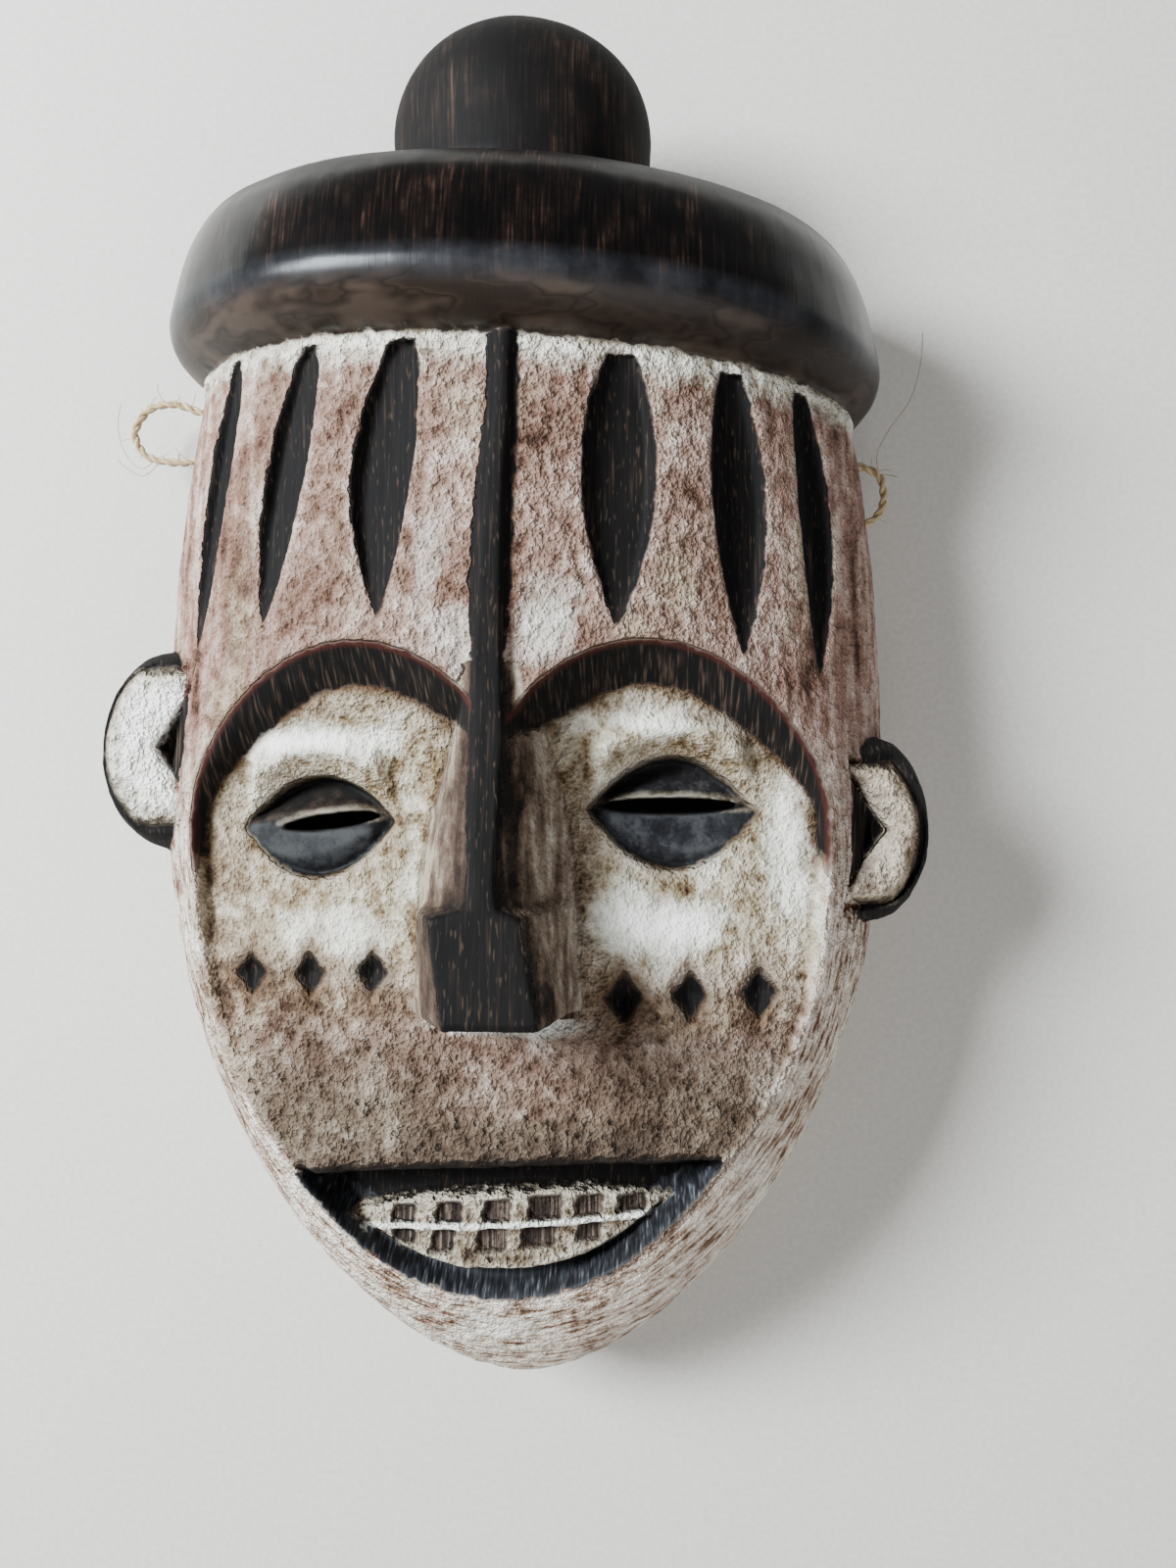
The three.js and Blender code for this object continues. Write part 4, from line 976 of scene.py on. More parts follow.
# %% [markdown]
# The clay coat is lumpy, the cap shows the flats of the knife, and the hollow shows the gouge.
# This relief is a smooth random pattern with lumps of a stated size, pushed along the surface.
# The lumps that are too small for the mesh are left to the material's bump.

# %% Relief of clay, knife and gouge
def lumps(points, size, seed=0):
    """Smooth random relief between -1 and 1, with lumps of a stated size in mm."""
    spot = points / np.asarray(size, float) + seed * 17.31 + 500.0
    cell = np.floor(spot).astype(np.int64)
    part = spot - cell
    part = part * part * (3 - 2 * part)
    total = np.zeros(len(points))
    for corner in range(8):
        offset = np.array([corner & 1, corner >> 1 & 1, corner >> 2 & 1])
        key = (cell + offset) @ np.array([73856093, 19349663, 83492791])
        key = ((key ^ (key >> 13)) * 1274126177) & 0x7FFFFFFF
        key = ((key ^ (key >> 11)) * 668265263) & 0x7FFFFFFF
        weight = np.prod(np.where(offset, part, 1 - part), axis=1)
        total += weight * (key / 2.0 ** 30 - 1)
    return total


def normals_of(piece):
    """Outward direction at each point of a piece."""
    flat = np.empty(len(piece.data.vertices) * 3)
    piece.data.vertices.foreach_get("normal", flat)
    return flat.reshape(-1, 3)


points = in_carving(corners_of(mask_piece))
zone = zones(points)
x, y, z = points.T
outside = zone["bare"] < 0
on_cap = smooth_step(0, 3, zone["cap"])
sunk_black = smooth_step(-0.5, 1, np.maximum(zone["flute"], zone["mouth"]))
clay = outside * (1 - on_cap) * (1 - sunk_black) * (1 - smooth_step(0, 1, zone["eye"]))
clay = clay * (1 - smooth_step(0, 1, np.maximum(zone["ridge"], zone["brow"])))
rough = (1.0 + 0.7 * zone["soil"] - 0.2 * zone["pale"]) * (1 - 0.6 * zone["chalk_and_highlight"])
rough = rough * (0.75 + 0.5 * lumps(points, 14, 10)) * (1 + 0.5 * zone["grime_and_shade"])
relief = clay * rough * (
    0.17 * lumps(points, 1.7, 1) + 0.22 * lumps(points, (3.0, 4.0, 3.0), 2) + 0.26 * lumps(points, 8, 3)
)
band = np.exp(-(((zone["cap"] + 2.2) / 2.4) ** 2)) * outside * (zone["flute"] < 0)
relief += band * (0.3 + 1.1 * np.abs(lumps(points, (5, 3, 5), 9)))
relief += on_cap * (0.3 * lumps(points, (16, 11, 16), 4) + 0.05 * lumps(points, (2.2, 9, 2.2), 5))
relief += outside * (1 - clay) * (1 - on_cap) * 0.09 * lumps(points, (1.6, 9, 1.6), 6)
gouge = np.abs(lumps(points, (9, 15, 12), 7))
relief += np.where(zone["bare"] > 0.8, 0.9 * gouge - 0.3, 0) * smooth_step(0.8, 3, z)
relief += smooth_step(0, 1, zone["teeth"]) * 0.22 * lumps(points, 1.8, 8)
bare_rim = zone["bare"] > 0.4
relief = np.where(bare_rim & (z < 1.0), 0, relief)

# The ears' rolls are rounded over between the outer bevel and the pit.
roll_share = zone["roll"] / np.maximum(zone["roll"] - zone["pit"], 0.1)
on_roll = (zone["roll"] > -3) & (zone["pit"] < 0) & (z > EAR_FRONT - 3) & (zone["ear"] > -1)
fall = np.where(x < 0, ROLLS[-1][3], ROLLS[1][3]) * (1 - np.sin(np.pi * np.clip(roll_share, 0, 1)) ** 0.8)
fall = fall * smooth_step(-3, 0, zone["roll"])
moved = points + normals_of(mask_piece) * relief[:, None]
moved[:, 2] -= np.where(on_roll, fall, 0)
moved[:, 2] = np.maximum(moved[:, 2], 0)
move_corners(mask_piece, in_frame(moved))
print("relief on", len(points), "points, from", round(relief.min(), 2), "to", round(relief.max(), 2))

# %% [markdown]
# The skin now has far more faces than its form needs. They are merged until the mask is a little
# under the limit of 200,000 triangles for one piece. Flat places lose most and edges least.

# %% Fewer faces where the carving is smooth
MASK_TRIANGLES = 196000
modify(mask_piece, "DECIMATE", ratio=min(1.0, MASK_TRIANGLES / triangles_of(mask_piece)))
print("thinned", triangles_of(mask_piece))

# %% [markdown]
# Handling wears what stands out, and dust and soot stay in what lies deep. So one more number is
# worked out from the mesh itself: how far each point stands out from its smoothed surroundings.
# The clay's tone follows it, lighter on tops and darker in hollows, which is partly that wear and dirt
# and partly painted light and painted shade.

# %% Paint zones as attributes
def raised(piece, rounds):
    """Millimetres that each point stands out from its surroundings, negative in a pit."""
    mesh = piece.data
    ends = np.empty(len(mesh.edges) * 2, np.int32)
    mesh.edges.foreach_get("vertices", ends)
    first, second = ends[::2], ends[1::2]
    here, there = np.concatenate([first, second]), np.concatenate([second, first])
    points = corners_of(piece)
    count = np.maximum(np.bincount(here, minlength=len(points)), 1)
    smooth = points
    for _ in range(rounds):
        means = [np.bincount(here, smooth[there, axis], len(points)) / count for axis in range(3)]
        smooth = np.stack(means, axis=1)
    return ((points - smooth) * normals_of(piece)).sum(axis=1) / MM


points = in_carving(corners_of(mask_piece))
zone = zones(points)
zone["raised"] = raised(mask_piece, 4)
for name, values in zone.items():
    mask_piece.data.attributes.new(name, "FLOAT", "POINT").data.foreach_set("value", values)
only(mask_piece)
bpy.ops.object.shade_smooth()

# %% [markdown]
# Every material is a small tree of nodes. Colours are given as sRGB hex values and turned to
# linear by one function. One other function adds a node with its settings and links, and a ramp's
# colour stops count as a setting.

# %% Colours and nodes
def linear(code):
    """Linear colour from an sRGB hex value."""
    parts = [int(code[i:i + 2], 16) / 255 for i in (1, 3, 5)]
    return tuple(p / 12.92 if p <= 0.04045 else ((p + 0.055) / 1.055) ** 2.4 for p in parts) + (1.0,)


def add(tree, kind, inputs, output=0, stops=(), **settings):
    """Add a node, give it its settings and inputs, and return one of its outputs."""
    new = tree.nodes.new("ShaderNode" + kind)
    for name, value in settings.items():
        setattr(new, name, value)
    for name, value in inputs.items():
        if isinstance(value, bpy.types.NodeSocket):
            tree.links.new(value, new.inputs[name])
        else:
            new.inputs[name].default_value = value
    for i, (place, code) in enumerate(stops):
        stop = new.color_ramp.elements[i] if i < 2 else new.color_ramp.elements.new(place)
        stop.position, stop.color = place, linear(code)
    return new.outputs[output]


def new_material(name):
    """A material with its tree of nodes and its shader."""
    material = bpy.data.materials.new(name)
    material.use_nodes = True
    return material, material.node_tree, material.node_tree.nodes["Principled BSDF"]


# %% [markdown]
# The mask is light tropical wood, cut with adze and knife. The carver stained the cap, brows,
# ridge, flutes and mouth black with soot and oil, and rubbed the rest with kaolin, a white clay.
# The clay has caught in the pores, taken up red earth and smoke, and worn off the edges. Its pink
# tint is partly that red earth and partly a painted reflection of a red surface beside the mask. So
# the eye sees a satin near-black wood with fine grain beside a dry, chalky, lumpy crust.
#
# The patterns come first. Each has its size in millimetres along X, Y and Z. Fibres and pores of
# the wood are stretched along the block's length. They are drawn coarser than real pores, because
# those are too fine to show in the picture.

# %% Wood and clay: patterns
clay_wood, tree, shader = new_material("clay_rubbed_wood")
PATTERNS = {
    "grit": ((0.8, 0.8, 0.8), 1, 0.5), "crust": ((2.8, 3.2, 2.8), 3, 0.55),
    "patch": ((13, 17, 13), 5, 0.6),
    "fibre": ((0.55, 14, 5), 1.5, 0.5), "pore": ((0.5, 2.8, 2.5), 0, 0.5),
    "vein": ((3, 26, 9), 4, 0.6), "oval": ((15, 4.5, 15), 2, 0.5),
}
place = add(tree, "TexCoord", {}, "Object")
pattern = {}
for name, (size, detail, roughness) in PATTERNS.items():
    per_lump = tuple(1 / (s * MM) for s in size)
    spot = add(tree, "VectorMath", {0: place, 1: per_lump}, operation="MULTIPLY")
    settings = {"Vector": spot, "Scale": 1.0, "Detail": detail, "Roughness": roughness}
    pattern[name] = add(tree, "TexNoise", settings, "Fac")
PIT_SPACING, PIT_BEND = 2.3, (2.0, -1.5, 1.2)
spot = add(tree, "VectorMath", {0: place, 1: (1 / (PIT_SPACING * MM),) * 3}, operation="MULTIPLY")
bent = {0: pattern["crust"], 1: PIT_BEND, 2: spot}
bent = add(tree, "VectorMath", bent, operation="MULTIPLY_ADD")
pits = add(tree, "TexVoronoi", {"Vector": bent, "Scale": 1.0, "Randomness": 1.0}, "Distance")
pattern["pits"] = add(tree, "MapRange", {"Value": pits, "From Min": 0.1, "From Max": 0.32})
share_of = {}
SHARES = (
    "raised", "chalk_and_highlight", "grime_and_shade", "pale", "soil", "red_earth_and_reflection", "round", "recess", "cap", "lid", "flank",
    "right", "shelf",
)
for name in SHARES:
    share_of[name] = add(tree, "Attribute", {}, "Fac", attribute_name=name)

# Streaks of clay follow the rim: their place is the distance round it and the distance to it.
round_rim = add(tree, "Math", {0: share_of["round"], 1: 0.2}, operation="MULTIPLY")
across_rim = add(tree, "Math", {0: share_of["recess"], 1: 1.2}, operation="MULTIPLY")
up_rim = add(tree, "SeparateXYZ", {0: place}, 2)
up_rim = add(tree, "Math", {0: up_rim, 1: 0.7 / MM}, operation="MULTIPLY")
rim_place = add(tree, "CombineXYZ", {0: round_rim, 1: across_rim, 2: up_rim})
pattern["streak"] = add(tree, "TexNoise", {"Vector": rim_place, "Scale": 1.0, "Detail": 4.0}, "Fac")

# Lumps: crust, patches and grit together, higher on what stands out and lower in pits. The clay's
# tones follow this value, and crust, grit and pits are the same patterns that make the bump, so the
# low places of the bump and of the carving are painted darker and the tops lighter: partly dirt and
# wear, partly painted shade and painted light.
lumpy = add(tree, "Math", {0: pattern["crust"], 1: 0.28, 2: 0.02}, operation="MULTIPLY_ADD")
lumpy = add(tree, "Math", {0: pattern["patch"], 1: 0.50, 2: lumpy}, operation="MULTIPLY_ADD")
lumpy = add(tree, "Math", {0: pattern["grit"], 1: 0.14, 2: lumpy}, operation="MULTIPLY_ADD")
lumpy = add(tree, "Math", {0: share_of["raised"], 1: 0.26, 2: lumpy}, operation="MULTIPLY_ADD")
lumpy = add(tree, "Math", {0: pattern["pits"], 1: 0.035, 2: lumpy}, operation="MULTIPLY_ADD")

# %% [markdown]
# A finish is a colour and a roughness. One finish is laid over another where a share says so. A
# painted area is a zone of the carving whose edge wanders by a millimetre, as a hand-laid one does.

# %% Wood and clay: how coats are laid
wander = add(tree, "Math", {0: pattern["crust"], 1: 3.0, 2: -1.5}, operation="MULTIPLY_ADD")


def painted_area(zone, low=-0.3, high=0.3, wobble=1.0):
    """Share of paint, from 0 below the low distance in mm to 1 above the high one."""
    distance = add(tree, "Attribute", {}, "Fac", attribute_name=zone)
    moved = add(tree, "Math", {0: wander, 1: wobble, 2: distance}, operation="MULTIPLY_ADD")
    return add(tree, "MapRange", {"Value": moved, "From Min": low, "From Max": high})


def lay_over(under, over, share):
    """One finish over another: its colour and its roughness."""
    colour = add(tree, "Mix", {0: share, 6: under[0], 7: over[0]}, 2, data_type="RGBA")
    return colour, add(tree, "Mix", {0: share, 2: under[1], 3: over[1]})


def toned(value, stops, roughness):
    """A finish whose colour follows a pattern through a row of tones."""
    return add(tree, "ValToRGB", {"Fac": value}, stops=stops), roughness


def blotch(spread, low=0.28, high=0.62):
    """A spread of clay or grime with a ragged edge that follows the lumps."""
    ragged = add(tree, "Math", {0: pattern["patch"], 1: 1.3, 2: -0.65}, operation="MULTIPLY_ADD")
    ragged = add(tree, "Math", {0: ragged, 1: spread}, operation="ADD")
    return add(tree, "MapRange", {"Value": ragged, "From Min": low, "From Max": high})


# %% Wood and clay: finishes
# The forehead clay is pinkish: partly red earth, partly a painted reflection of a red surface beside the
# mask.
forehead_clay = toned(lumpy, [
    (0.38, "#38271e"), (0.44, "#644b3e"), (0.49, "#7c6458"), (0.55, "#937a6f"), (0.63, "#bba9a0"),
], 0.95)
white_clay = toned(lumpy, [
    (0.38, "#4a3926"), (0.43, "#76654e"), (0.48, "#968a75"), (0.54, "#b0a795"), (0.62, "#d2cfc2"),
], 0.93)
chalk_clay = toned(lumpy, [
    (0.38, "#a8a090"), (0.44, "#d2cfc3"), (0.50, "#e6e7df"), (0.60, "#f2f4ee"),
], 0.93)
ear_clay = toned(lumpy, [
    (0.40, "#3a2d21"), (0.46, "#665846"), (0.52, "#8d8270"), (0.60, "#b8b0a0"),
], 0.9)
worn_clay = toned(lumpy, [
    (0.40, "#2a1d14"), (0.46, "#4e3c2e"), (0.52, "#725f4c"), (0.60, "#9d8e79"),
], 0.93)
soiled_clay = toned(lumpy, [
    (0.38, "#33261d"), (0.44, "#493b30"), (0.50, "#5b4d40"), (0.56, "#6e6153"), (0.64, "#8b8071"),
], 0.95)
veined = add(tree, "Math", {0: lumpy, 1: 0.5}, operation="MULTIPLY")
veined = add(tree, "Math", {0: pattern["vein"], 1: 0.5, 2: veined}, operation="MULTIPLY_ADD")
red_earth_and_reflection_clay = toned(veined, [
    (0.40, "#2f1e17"), (0.45, "#6b4c40"), (0.51, "#8d6d61"), (0.59, "#bba79b"),
], 0.93)
streaked = add(tree, "Math", {0: lumpy, 1: 0.55}, operation="MULTIPLY")
streaked = add(tree, "Math", {0: pattern["streak"], 1: 0.45, 2: streaked}, operation="MULTIPLY_ADD")
rim_clay = toned(streaked, [
    (0.42, "#58402f"), (0.46, "#8d7362"), (0.49, "#b2a091"), (0.54, "#d0c5b8"), (0.61, "#e9e2d8"),
], 0.93)
shelf_darkening = toned(lumpy, [(0.40, "#120d0a"), (0.50, "#33261f"), (0.60, "#5d4c40")], 0.9)
notch_wood = toned(pattern["fibre"], [(0.40, "#1c1512"), (0.52, "#382e28"), (0.64, "#62564c")], 0.85)
tooth_clay = toned(lumpy, [
    (0.41, "#33271e"), (0.46, "#5a4c3c"), (0.52, "#7c7060"), (0.60, "#aca394"),
], 0.9)
stain = toned(pattern["fibre"], [
    (0.42, "#040202"), (0.55, "#090605"), (0.65, "#140d0a"), (0.78, "#30241d"),
], 0.8)
brow_stain = toned(pattern["fibre"], [
    (0.40, "#050303"), (0.50, "#0c0907"), (0.58, "#1a130f"), (0.70, "#3f332a"),
], 0.8)
oiled = add(tree, "Math", {0: pattern["patch"], 1: 0.6}, operation="MULTIPLY")
oiled = add(tree, "Math", {0: pattern["fibre"], 1: 0.4, 2: oiled}, operation="MULTIPLY_ADD")
cap_stain = toned(oiled, [
    (0.42, "#030202"), (0.50, "#080504"), (0.57, "#150d0a"), (0.68, "#3a2b23"),
], 0.24)
knob_stain = toned(oiled, [
    (0.42, "#040202"), (0.50, "#0a0604"), (0.57, "#1a110d"), (0.68, "#3f2f26"),
], 0.78)
lip_stain = toned(pattern["fibre"], [
    (0.40, "#131315"), (0.52, "#212226"), (0.62, "#34363b"), (0.76, "#66686c"),
], 0.6)
red_line = (linear("#3b1711"), 0.7)
bloom = toned(pattern["oval"], [
    (0.38, "#241c17"), (0.45, "#30261f"), (0.48, "#211914"), (0.51, "#2d241e"), (0.60, "#40352d"),
], 0.45)
pores = (linear("#44382e"), 0.85)
edge_wood = toned(pattern["crust"], [(0.38, "#2a1a12"), (0.62, "#6b5039")], 0.85)

# %% Wood and clay: laying them on
# Sides and lower edge outside the face are reddened: partly red earth, partly a painted red reflection.
share = add(tree, "MapRange", {"Value": share_of["red_earth_and_reflection"], "From Min": 0.1, "From Max": 0.9, "To Max": 0.8})
finish = lay_over(forehead_clay, red_earth_and_reflection_clay, share)
low_rim = add(tree, "MapRange", {
    "Value": add(tree, "SeparateXYZ", {0: place}, 1), "From Min": 0.0, "From Max": -0.05,
})
outside_face = add(tree, "MapRange", {"Value": share_of["recess"], "From Min": 0.5, "From Max": -0.5})
share = add(tree, "Math", {0: low_rim, 1: outside_face}, operation="MULTIPLY")
finish = lay_over(finish, rim_clay, share)
finish = lay_over(finish, white_clay, share_of["pale"])
under_brow = painted_area("brow", -7.0, -0.5, 2.5)
under_brow = add(tree, "Math", {0: under_brow, 1: share_of["pale"]}, operation="MULTIPLY")
under_brow = add(tree, "Math", {0: under_brow, 1: 0.6}, operation="MULTIPLY")
finish = lay_over(finish, worn_clay, under_brow)
finish = lay_over(finish, soiled_clay, share_of["soil"])
# Brown spreads: grime, and painted shade at the foot of the nose's right side.
grime_and_shade_share = add(tree, "Math", {0: blotch(share_of["grime_and_shade"]), 1: 0.8}, operation="MULTIPLY")
finish = lay_over(finish, worn_clay, grime_and_shade_share)
# White spreads: thick clay, and painted highlights over the eyes, beside the nose and on the right cheek.
finish = lay_over(finish, chalk_clay, blotch(share_of["chalk_and_highlight"], 0.2, 0.9))
# The upper lip gets darker towards the mouth's edge, nearly black in its last two millimetres.
share = add(tree, "Math", {0: painted_area("shelf", -9.0, -1.0, 2.0), 1: 0.85}, operation="MULTIPLY")
finish = lay_over(finish, shelf_darkening, share)
finish = lay_over(finish, stain, painted_area("shelf", -2.6, -0.6, 1.2))
band = add(tree, "Math", {0: painted_area("cap", -8.0, -2.5, 2.8), 1: 0.9}, operation="MULTIPLY")
finish = lay_over(finish, lay_over(white_clay, chalk_clay, 0.35), band)
HALOS = {"flute": (-1.2, 0.4), "brow": (-1.8, 0.7), "scar": (-3.6, 0.8), "eye": (-1.6, 0.45)}
for zone, (reach, strength) in HALOS.items():
    share = add(tree, "Math", {0: painted_area(zone, reach, -0.2, 1.5), 1: strength}, operation="MULTIPLY")
    finish = lay_over(finish, edge_wood, share)

# The nose: worn brown flanks, darkest beside the bar, that fade into the white face.
slope = add(tree, "Math", {0: share_of["flank"], 1: 0.22, 2: -0.11}, operation="MULTIPLY_ADD")
slope = add(tree, "Math", {0: pattern["vein"], 1: 0.5, 2: slope}, operation="MULTIPLY_ADD")
slope = add(tree, "Math", {0: lumpy, 1: 0.5, 2: slope}, operation="MULTIPLY_ADD")
left_flank = toned(slope, [
    (0.36, "#120d0a"), (0.43, "#2c211a"), (0.49, "#43362d"), (0.55, "#5d4f44"), (0.64, "#948979"),
], 0.85)
right_flank = toned(slope, [
    (0.38, "#120d0b"), (0.44, "#32271f"), (0.50, "#5b4c41"), (0.56, "#7d6e60"), (0.65, "#b0a798"),
], 0.85)
flanks = lay_over(left_flank, right_flank, share_of["right"])
finish = lay_over(finish, flanks, painted_area("nose", -0.6, 1.0, 1.3))

# Black: flutes, brows, ridge, mouth, scars, the ears' edge and pit, and the cap.
worn_stain = lay_over(stain, pores, add(tree, "MapRange", {
    "Value": pattern["pore"], "From Min": 0.68, "From Max": 0.76, "To Max": 0.5,
}))
finish = lay_over(finish, brow_stain, painted_area("brow"))
brow_top = add(tree, "Math", {0: share_of["recess"], 1: 0.3}, operation="SUBTRACT")
brow_top = add(tree, "Math", {0: brow_top}, operation="ABSOLUTE")
brow_top = add(tree, "MapRange", {"Value": brow_top, "From Min": 0.9, "From Max": 0.2, "To Max": 0.7})
brow_top = add(tree, "Math", {0: brow_top, 1: painted_area("brow", -2.0, -1.0)}, operation="MULTIPLY")
finish = lay_over(finish, red_line, brow_top)
for zone in ("flute", "ridge", "mouth"):
    finish = lay_over(finish, worn_stain, painted_area(zone))
finish = lay_over(finish, worn_stain, painted_area("scar", -0.6, 0.5, 1.5))
lower_lip = add(tree, "MapRange", {"Value": share_of["shelf"], "From Min": -12.0, "From Max": -18.0})
lower_lip = add(tree, "Math", {0: lower_lip, 1: painted_area("mouth")}, operation="MULTIPLY")
finish = lay_over(finish, lip_stain, lower_lip)
share = painted_area("ear", wobble=0.3)
finish = lay_over(finish, worn_stain, share)
roll = add(tree, "Math", {0: share, 1: painted_area("roll", -0.6, 2.0)}, operation="MULTIPLY")
shaded = add(tree, "Math", {0: share_of["right"], 1: 0.85}, operation="MULTIPLY")
finish = lay_over(finish, lay_over(ear_clay, worn_clay, shaded), roll)
roll = add(tree, "Math", {0: share, 1: painted_area("roll", 1.5, 6.0, 1.5)}, operation="MULTIPLY")
finish = lay_over(finish, lay_over(chalk_clay, worn_clay, shaded), roll)
finish = lay_over(finish, brow_stain, painted_area("pit", wobble=0.5))
teeth = painted_area("teeth")
finish = lay_over(finish, tooth_clay, teeth)
notch = add(tree, "Math", {0: painted_area("notch", -0.5, 0.5, 0.6), 1: teeth}, operation="MULTIPLY")
finish = lay_over(finish, notch_wood, notch)
bright = (linear("#e4e5dc"), 0.9)
bar = add(tree, "Math", {0: painted_area("bar", wobble=0.3), 1: teeth}, operation="MULTIPLY")
finish = lay_over(finish, bright, bar)
on_cap = painted_area("cap")
finish = lay_over(finish, cap_stain, on_cap)
under_crest = add(tree, "MapRange", {
    "Value": share_of["cap"], "From Min": 10.5, "From Max": 6.5, "To Max": 0.85,
})
under_crest = add(tree, "Math", {0: on_cap, 1: under_crest}, operation="MULTIPLY")
finish = lay_over(finish, bloom, under_crest)
# A bluish-grey band along the cap's rolled crest: partly grey wear of the edge, partly a painted
# highlight.
crest = add(tree, "Math", {0: share_of["cap"], 1: 10.0}, operation="SUBTRACT")
crest = add(tree, "Math", {0: crest}, operation="ABSOLUTE")
crest = add(tree, "MapRange", {"Value": crest, "From Min": 4.5, "From Max": 1.0, "To Max": 0.6})
crest_wear_and_highlight = toned(pattern["patch"], [(0.40, "#151619"), (0.60, "#303237")], 0.3)
crest = add(tree, "Math", {0: crest, 1: on_cap}, operation="MULTIPLY")
finish = lay_over(finish, crest_wear_and_highlight, crest)
on_knob = add(tree, "MapRange", {"Value": share_of["cap"], "From Min": 32.0, "From Max": 44.0})
finish = lay_over(finish, knob_stain, on_knob)

# %% Wood and clay: eyes
upper_lid = toned(lumpy, [(0.42, "#080605"), (0.50, "#140e0b"), (0.60, "#30261f")], 0.75)
lower_lid = toned(lumpy, [(0.42, "#0a0a0b"), (0.50, "#121316"), (0.60, "#292a2b")], 0.62)
lids = lay_over(lower_lid, upper_lid, add(tree, "MapRange", {
    "Value": share_of["lid"], "From Min": 0.55, "From Max": 0.62,
}))
lit_lid = toned(lumpy, [(0.42, "#121213"), (0.50, "#232428"), (0.60, "#45464a")], 0.62)
lit_side = add(tree, "Math", {0: share_of["right"], 1: 0.5}, operation="MULTIPLY")
lids = lay_over(lids, lit_lid, lit_side)
lid_line = painted_area("slit", -1.9, -0.9, 0.3)
finish = lay_over(finish, lids, painted_area("eye", 0.0, 1.0, 0.9))
over_slit = add(tree, "MapRange", {"Value": share_of["lid"], "From Min": 0.50, "From Max": 0.56})
lid_line = add(tree, "Math", {0: lid_line, 1: over_slit}, operation="MULTIPLY")
lid_line = add(tree, "Math", {0: lid_line, 1: 0.4}, operation="MULTIPLY")
finish = lay_over(finish, ear_clay, lid_line)
# The walls of each slit are painted black: painted shade, so that the opening reads dark.
finish = lay_over(finish, stain, painted_area("slit", -0.6, 0.0, 0.2))

# %% Wood and clay: the bare back
bare_wood = toned(pattern["fibre"], [
    (0.34, "#49331f"), (0.5, "#775a40"), (0.66, "#96795c"),
], 0.75)
back = painted_area("bare", wobble=0.3)
finish = lay_over(finish, bare_wood, back)
# Inside the hollow the back round each slit is painted black too: painted shade seen through the slits.
slit_painted_shade = add(tree, "Math", {0: back, 1: painted_area("slit", -7.0, -1.0)}, operation="MULTIPLY")
finish = lay_over(finish, stain, slit_painted_shade)
tree.links.new(finish[0], shader.inputs["Base Color"])
tree.links.new(finish[1], shader.inputs["Roughness"])
height = add(tree, "Math", {0: pattern["grit"], 1: 0.3, 2: pattern["crust"]}, operation="MULTIPLY_ADD")
pit_depth = add(tree, "Math", {0: share_of["soil"], 1: 0.3, 2: 0.08}, operation="MULTIPLY_ADD")
height = add(tree, "Math", {0: pattern["pits"], 1: pit_depth, 2: height}, operation="MULTIPLY_ADD")
on_wood = add(tree, "MapRange", {"Value": finish[1], "From Min": 0.9, "From Max": 0.82})
grain_height = add(tree, "Math", {0: pattern["fibre"], 1: 0.006}, operation="MULTIPLY")
smoother = add(tree, "Math", {0: share_of["chalk_and_highlight"], 1: -0.5, 2: 1.0}, operation="MULTIPLY_ADD")
smoother = add(tree, "Math", {0: share_of["pale"], 1: -0.2, 2: smoother}, operation="MULTIPLY_ADD")
height = add(tree, "Math", {0: height, 1: smoother}, operation="MULTIPLY")
height = add(tree, "Mix", {0: on_wood, 2: height, 3: grain_height})
shape = add(tree, "Bump", {"Height": height, "Strength": 1.0, "Distance": 3.4 * MM})
tree.links.new(shape, shader.inputs["Normal"])
shader.inputs["Specular IOR Level"].default_value = 0.18
shader.inputs["Specular Tint"].default_value = (0.94, 0.97, 1.0, 1.0)
mask_piece.data.materials.clear()
mask_piece.data.materials.append(clay_wood)
print("clay and wood nodes", len(tree.nodes))

# %% [markdown]
# The twine is jute: pale straw-coloured bast fibre, spun dry. Its fibres run along each strand,
# so the pattern is drawn on the strand's own length and girth, and it looks dull and hairy.

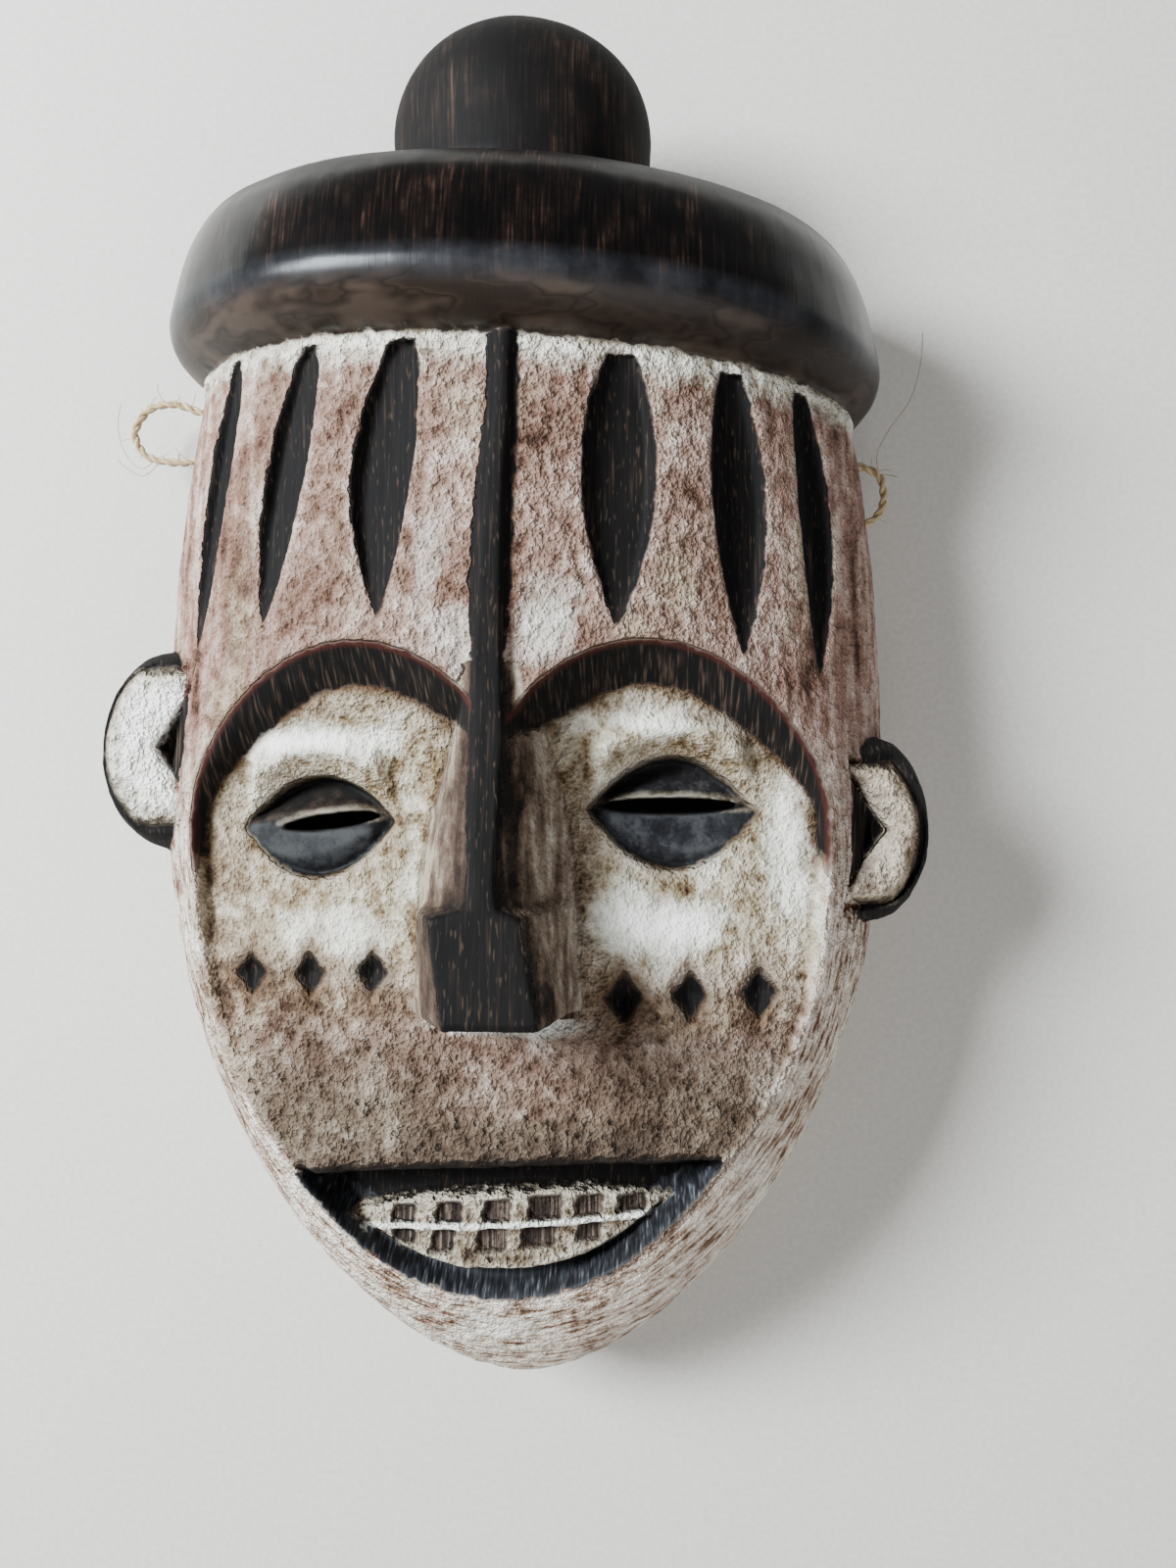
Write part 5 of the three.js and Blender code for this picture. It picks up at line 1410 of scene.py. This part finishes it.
# %% Jute twine
jute, tree, shader = new_material("jute_twine")
along = add(tree, "Attribute", {}, "Fac", attribute_name="along")
girth = add(tree, "Attribute", {}, "Fac", attribute_name="round")
along = add(tree, "Math", {0: along, 1: 0.35}, operation="MULTIPLY")
girth = add(tree, "Math", {0: girth, 1: 9.0}, operation="MULTIPLY")
spot = add(tree, "CombineXYZ", {0: along, 1: girth})
fibres_seen = add(tree, "TexNoise", {"Vector": spot, "Scale": 1.0, "Detail": 3.0}, "Fac")
colour = add(tree, "ValToRGB", {"Fac": fibres_seen}, stops=[
    (0.3, "#7d6545"), (0.5, "#b09a74"), (0.7, "#d6c7a4"),
])
tree.links.new(colour, shader.inputs["Base Color"])
shader.inputs["Roughness"].default_value = 0.85
shader.inputs["Sheen Weight"].default_value = 0.25
shape = add(tree, "Bump", {"Height": fibres_seen, "Strength": 0.8, "Distance": 0.2 * MM})
tree.links.new(shape, shader.inputs["Normal"])
for piece in (twine_piece, knot_left, knot_right, fibre_piece):
    piece.data.materials.append(jute)
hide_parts("mask")
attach(mask_piece, "root")

# %% Floor and light
bpy.ops.object.select_all(action="DESELECT")
bpy.ops.mesh.primitive_plane_add(size=3, location=(0, 0, -0.0002))
floor = bpy.context.object
floor.name = "floor"
paper, tree, shader = new_material("pale_paper")
place = add(tree, "TexCoord", {}, "Object")
tooth = add(tree, "TexNoise", {"Vector": place, "Scale": 700.0, "Detail": 4.0}, "Fac")
colour = add(tree, "ValToRGB", {"Fac": tooth}, stops=[(0.3, "#c4c1bb"), (0.7, "#cfccc7")])
tree.links.new(colour, shader.inputs["Base Color"])
shader.inputs["Roughness"].default_value = 0.9
shape = add(tree, "Bump", {"Height": tooth, "Strength": 0.2, "Distance": 0.1 * MM})
tree.links.new(shape, shader.inputs["Normal"])
floor.data.materials.append(paper)
LIGHTS = [
    # place, watts, size in metres, colour
    ((-0.76, 0.3, 0.74), 46, 0.42, (0.92, 0.97, 1.0)),
    ((0.45, -0.8, 0.85), 8, 0.9, (1.0, 0.98, 0.95)),
]
for place, watts, size, colour in LIGHTS:
    bpy.ops.object.light_add(type="AREA", location=place)
    lamp = bpy.context.object
    lamp.data.energy, lamp.data.size, lamp.data.color = watts, size, colour
    lamp.rotation_euler = Vector(place).to_track_quat("Z", "Y").to_euler()
world = bpy.data.worlds.new("soft_room")
bpy.context.scene.world = world
world.use_nodes = True
world.node_tree.nodes["Background"].inputs["Color"].default_value = (0.84, 0.87, 0.9, 1)
world.node_tree.nodes["Background"].inputs["Strength"].default_value = 0.31
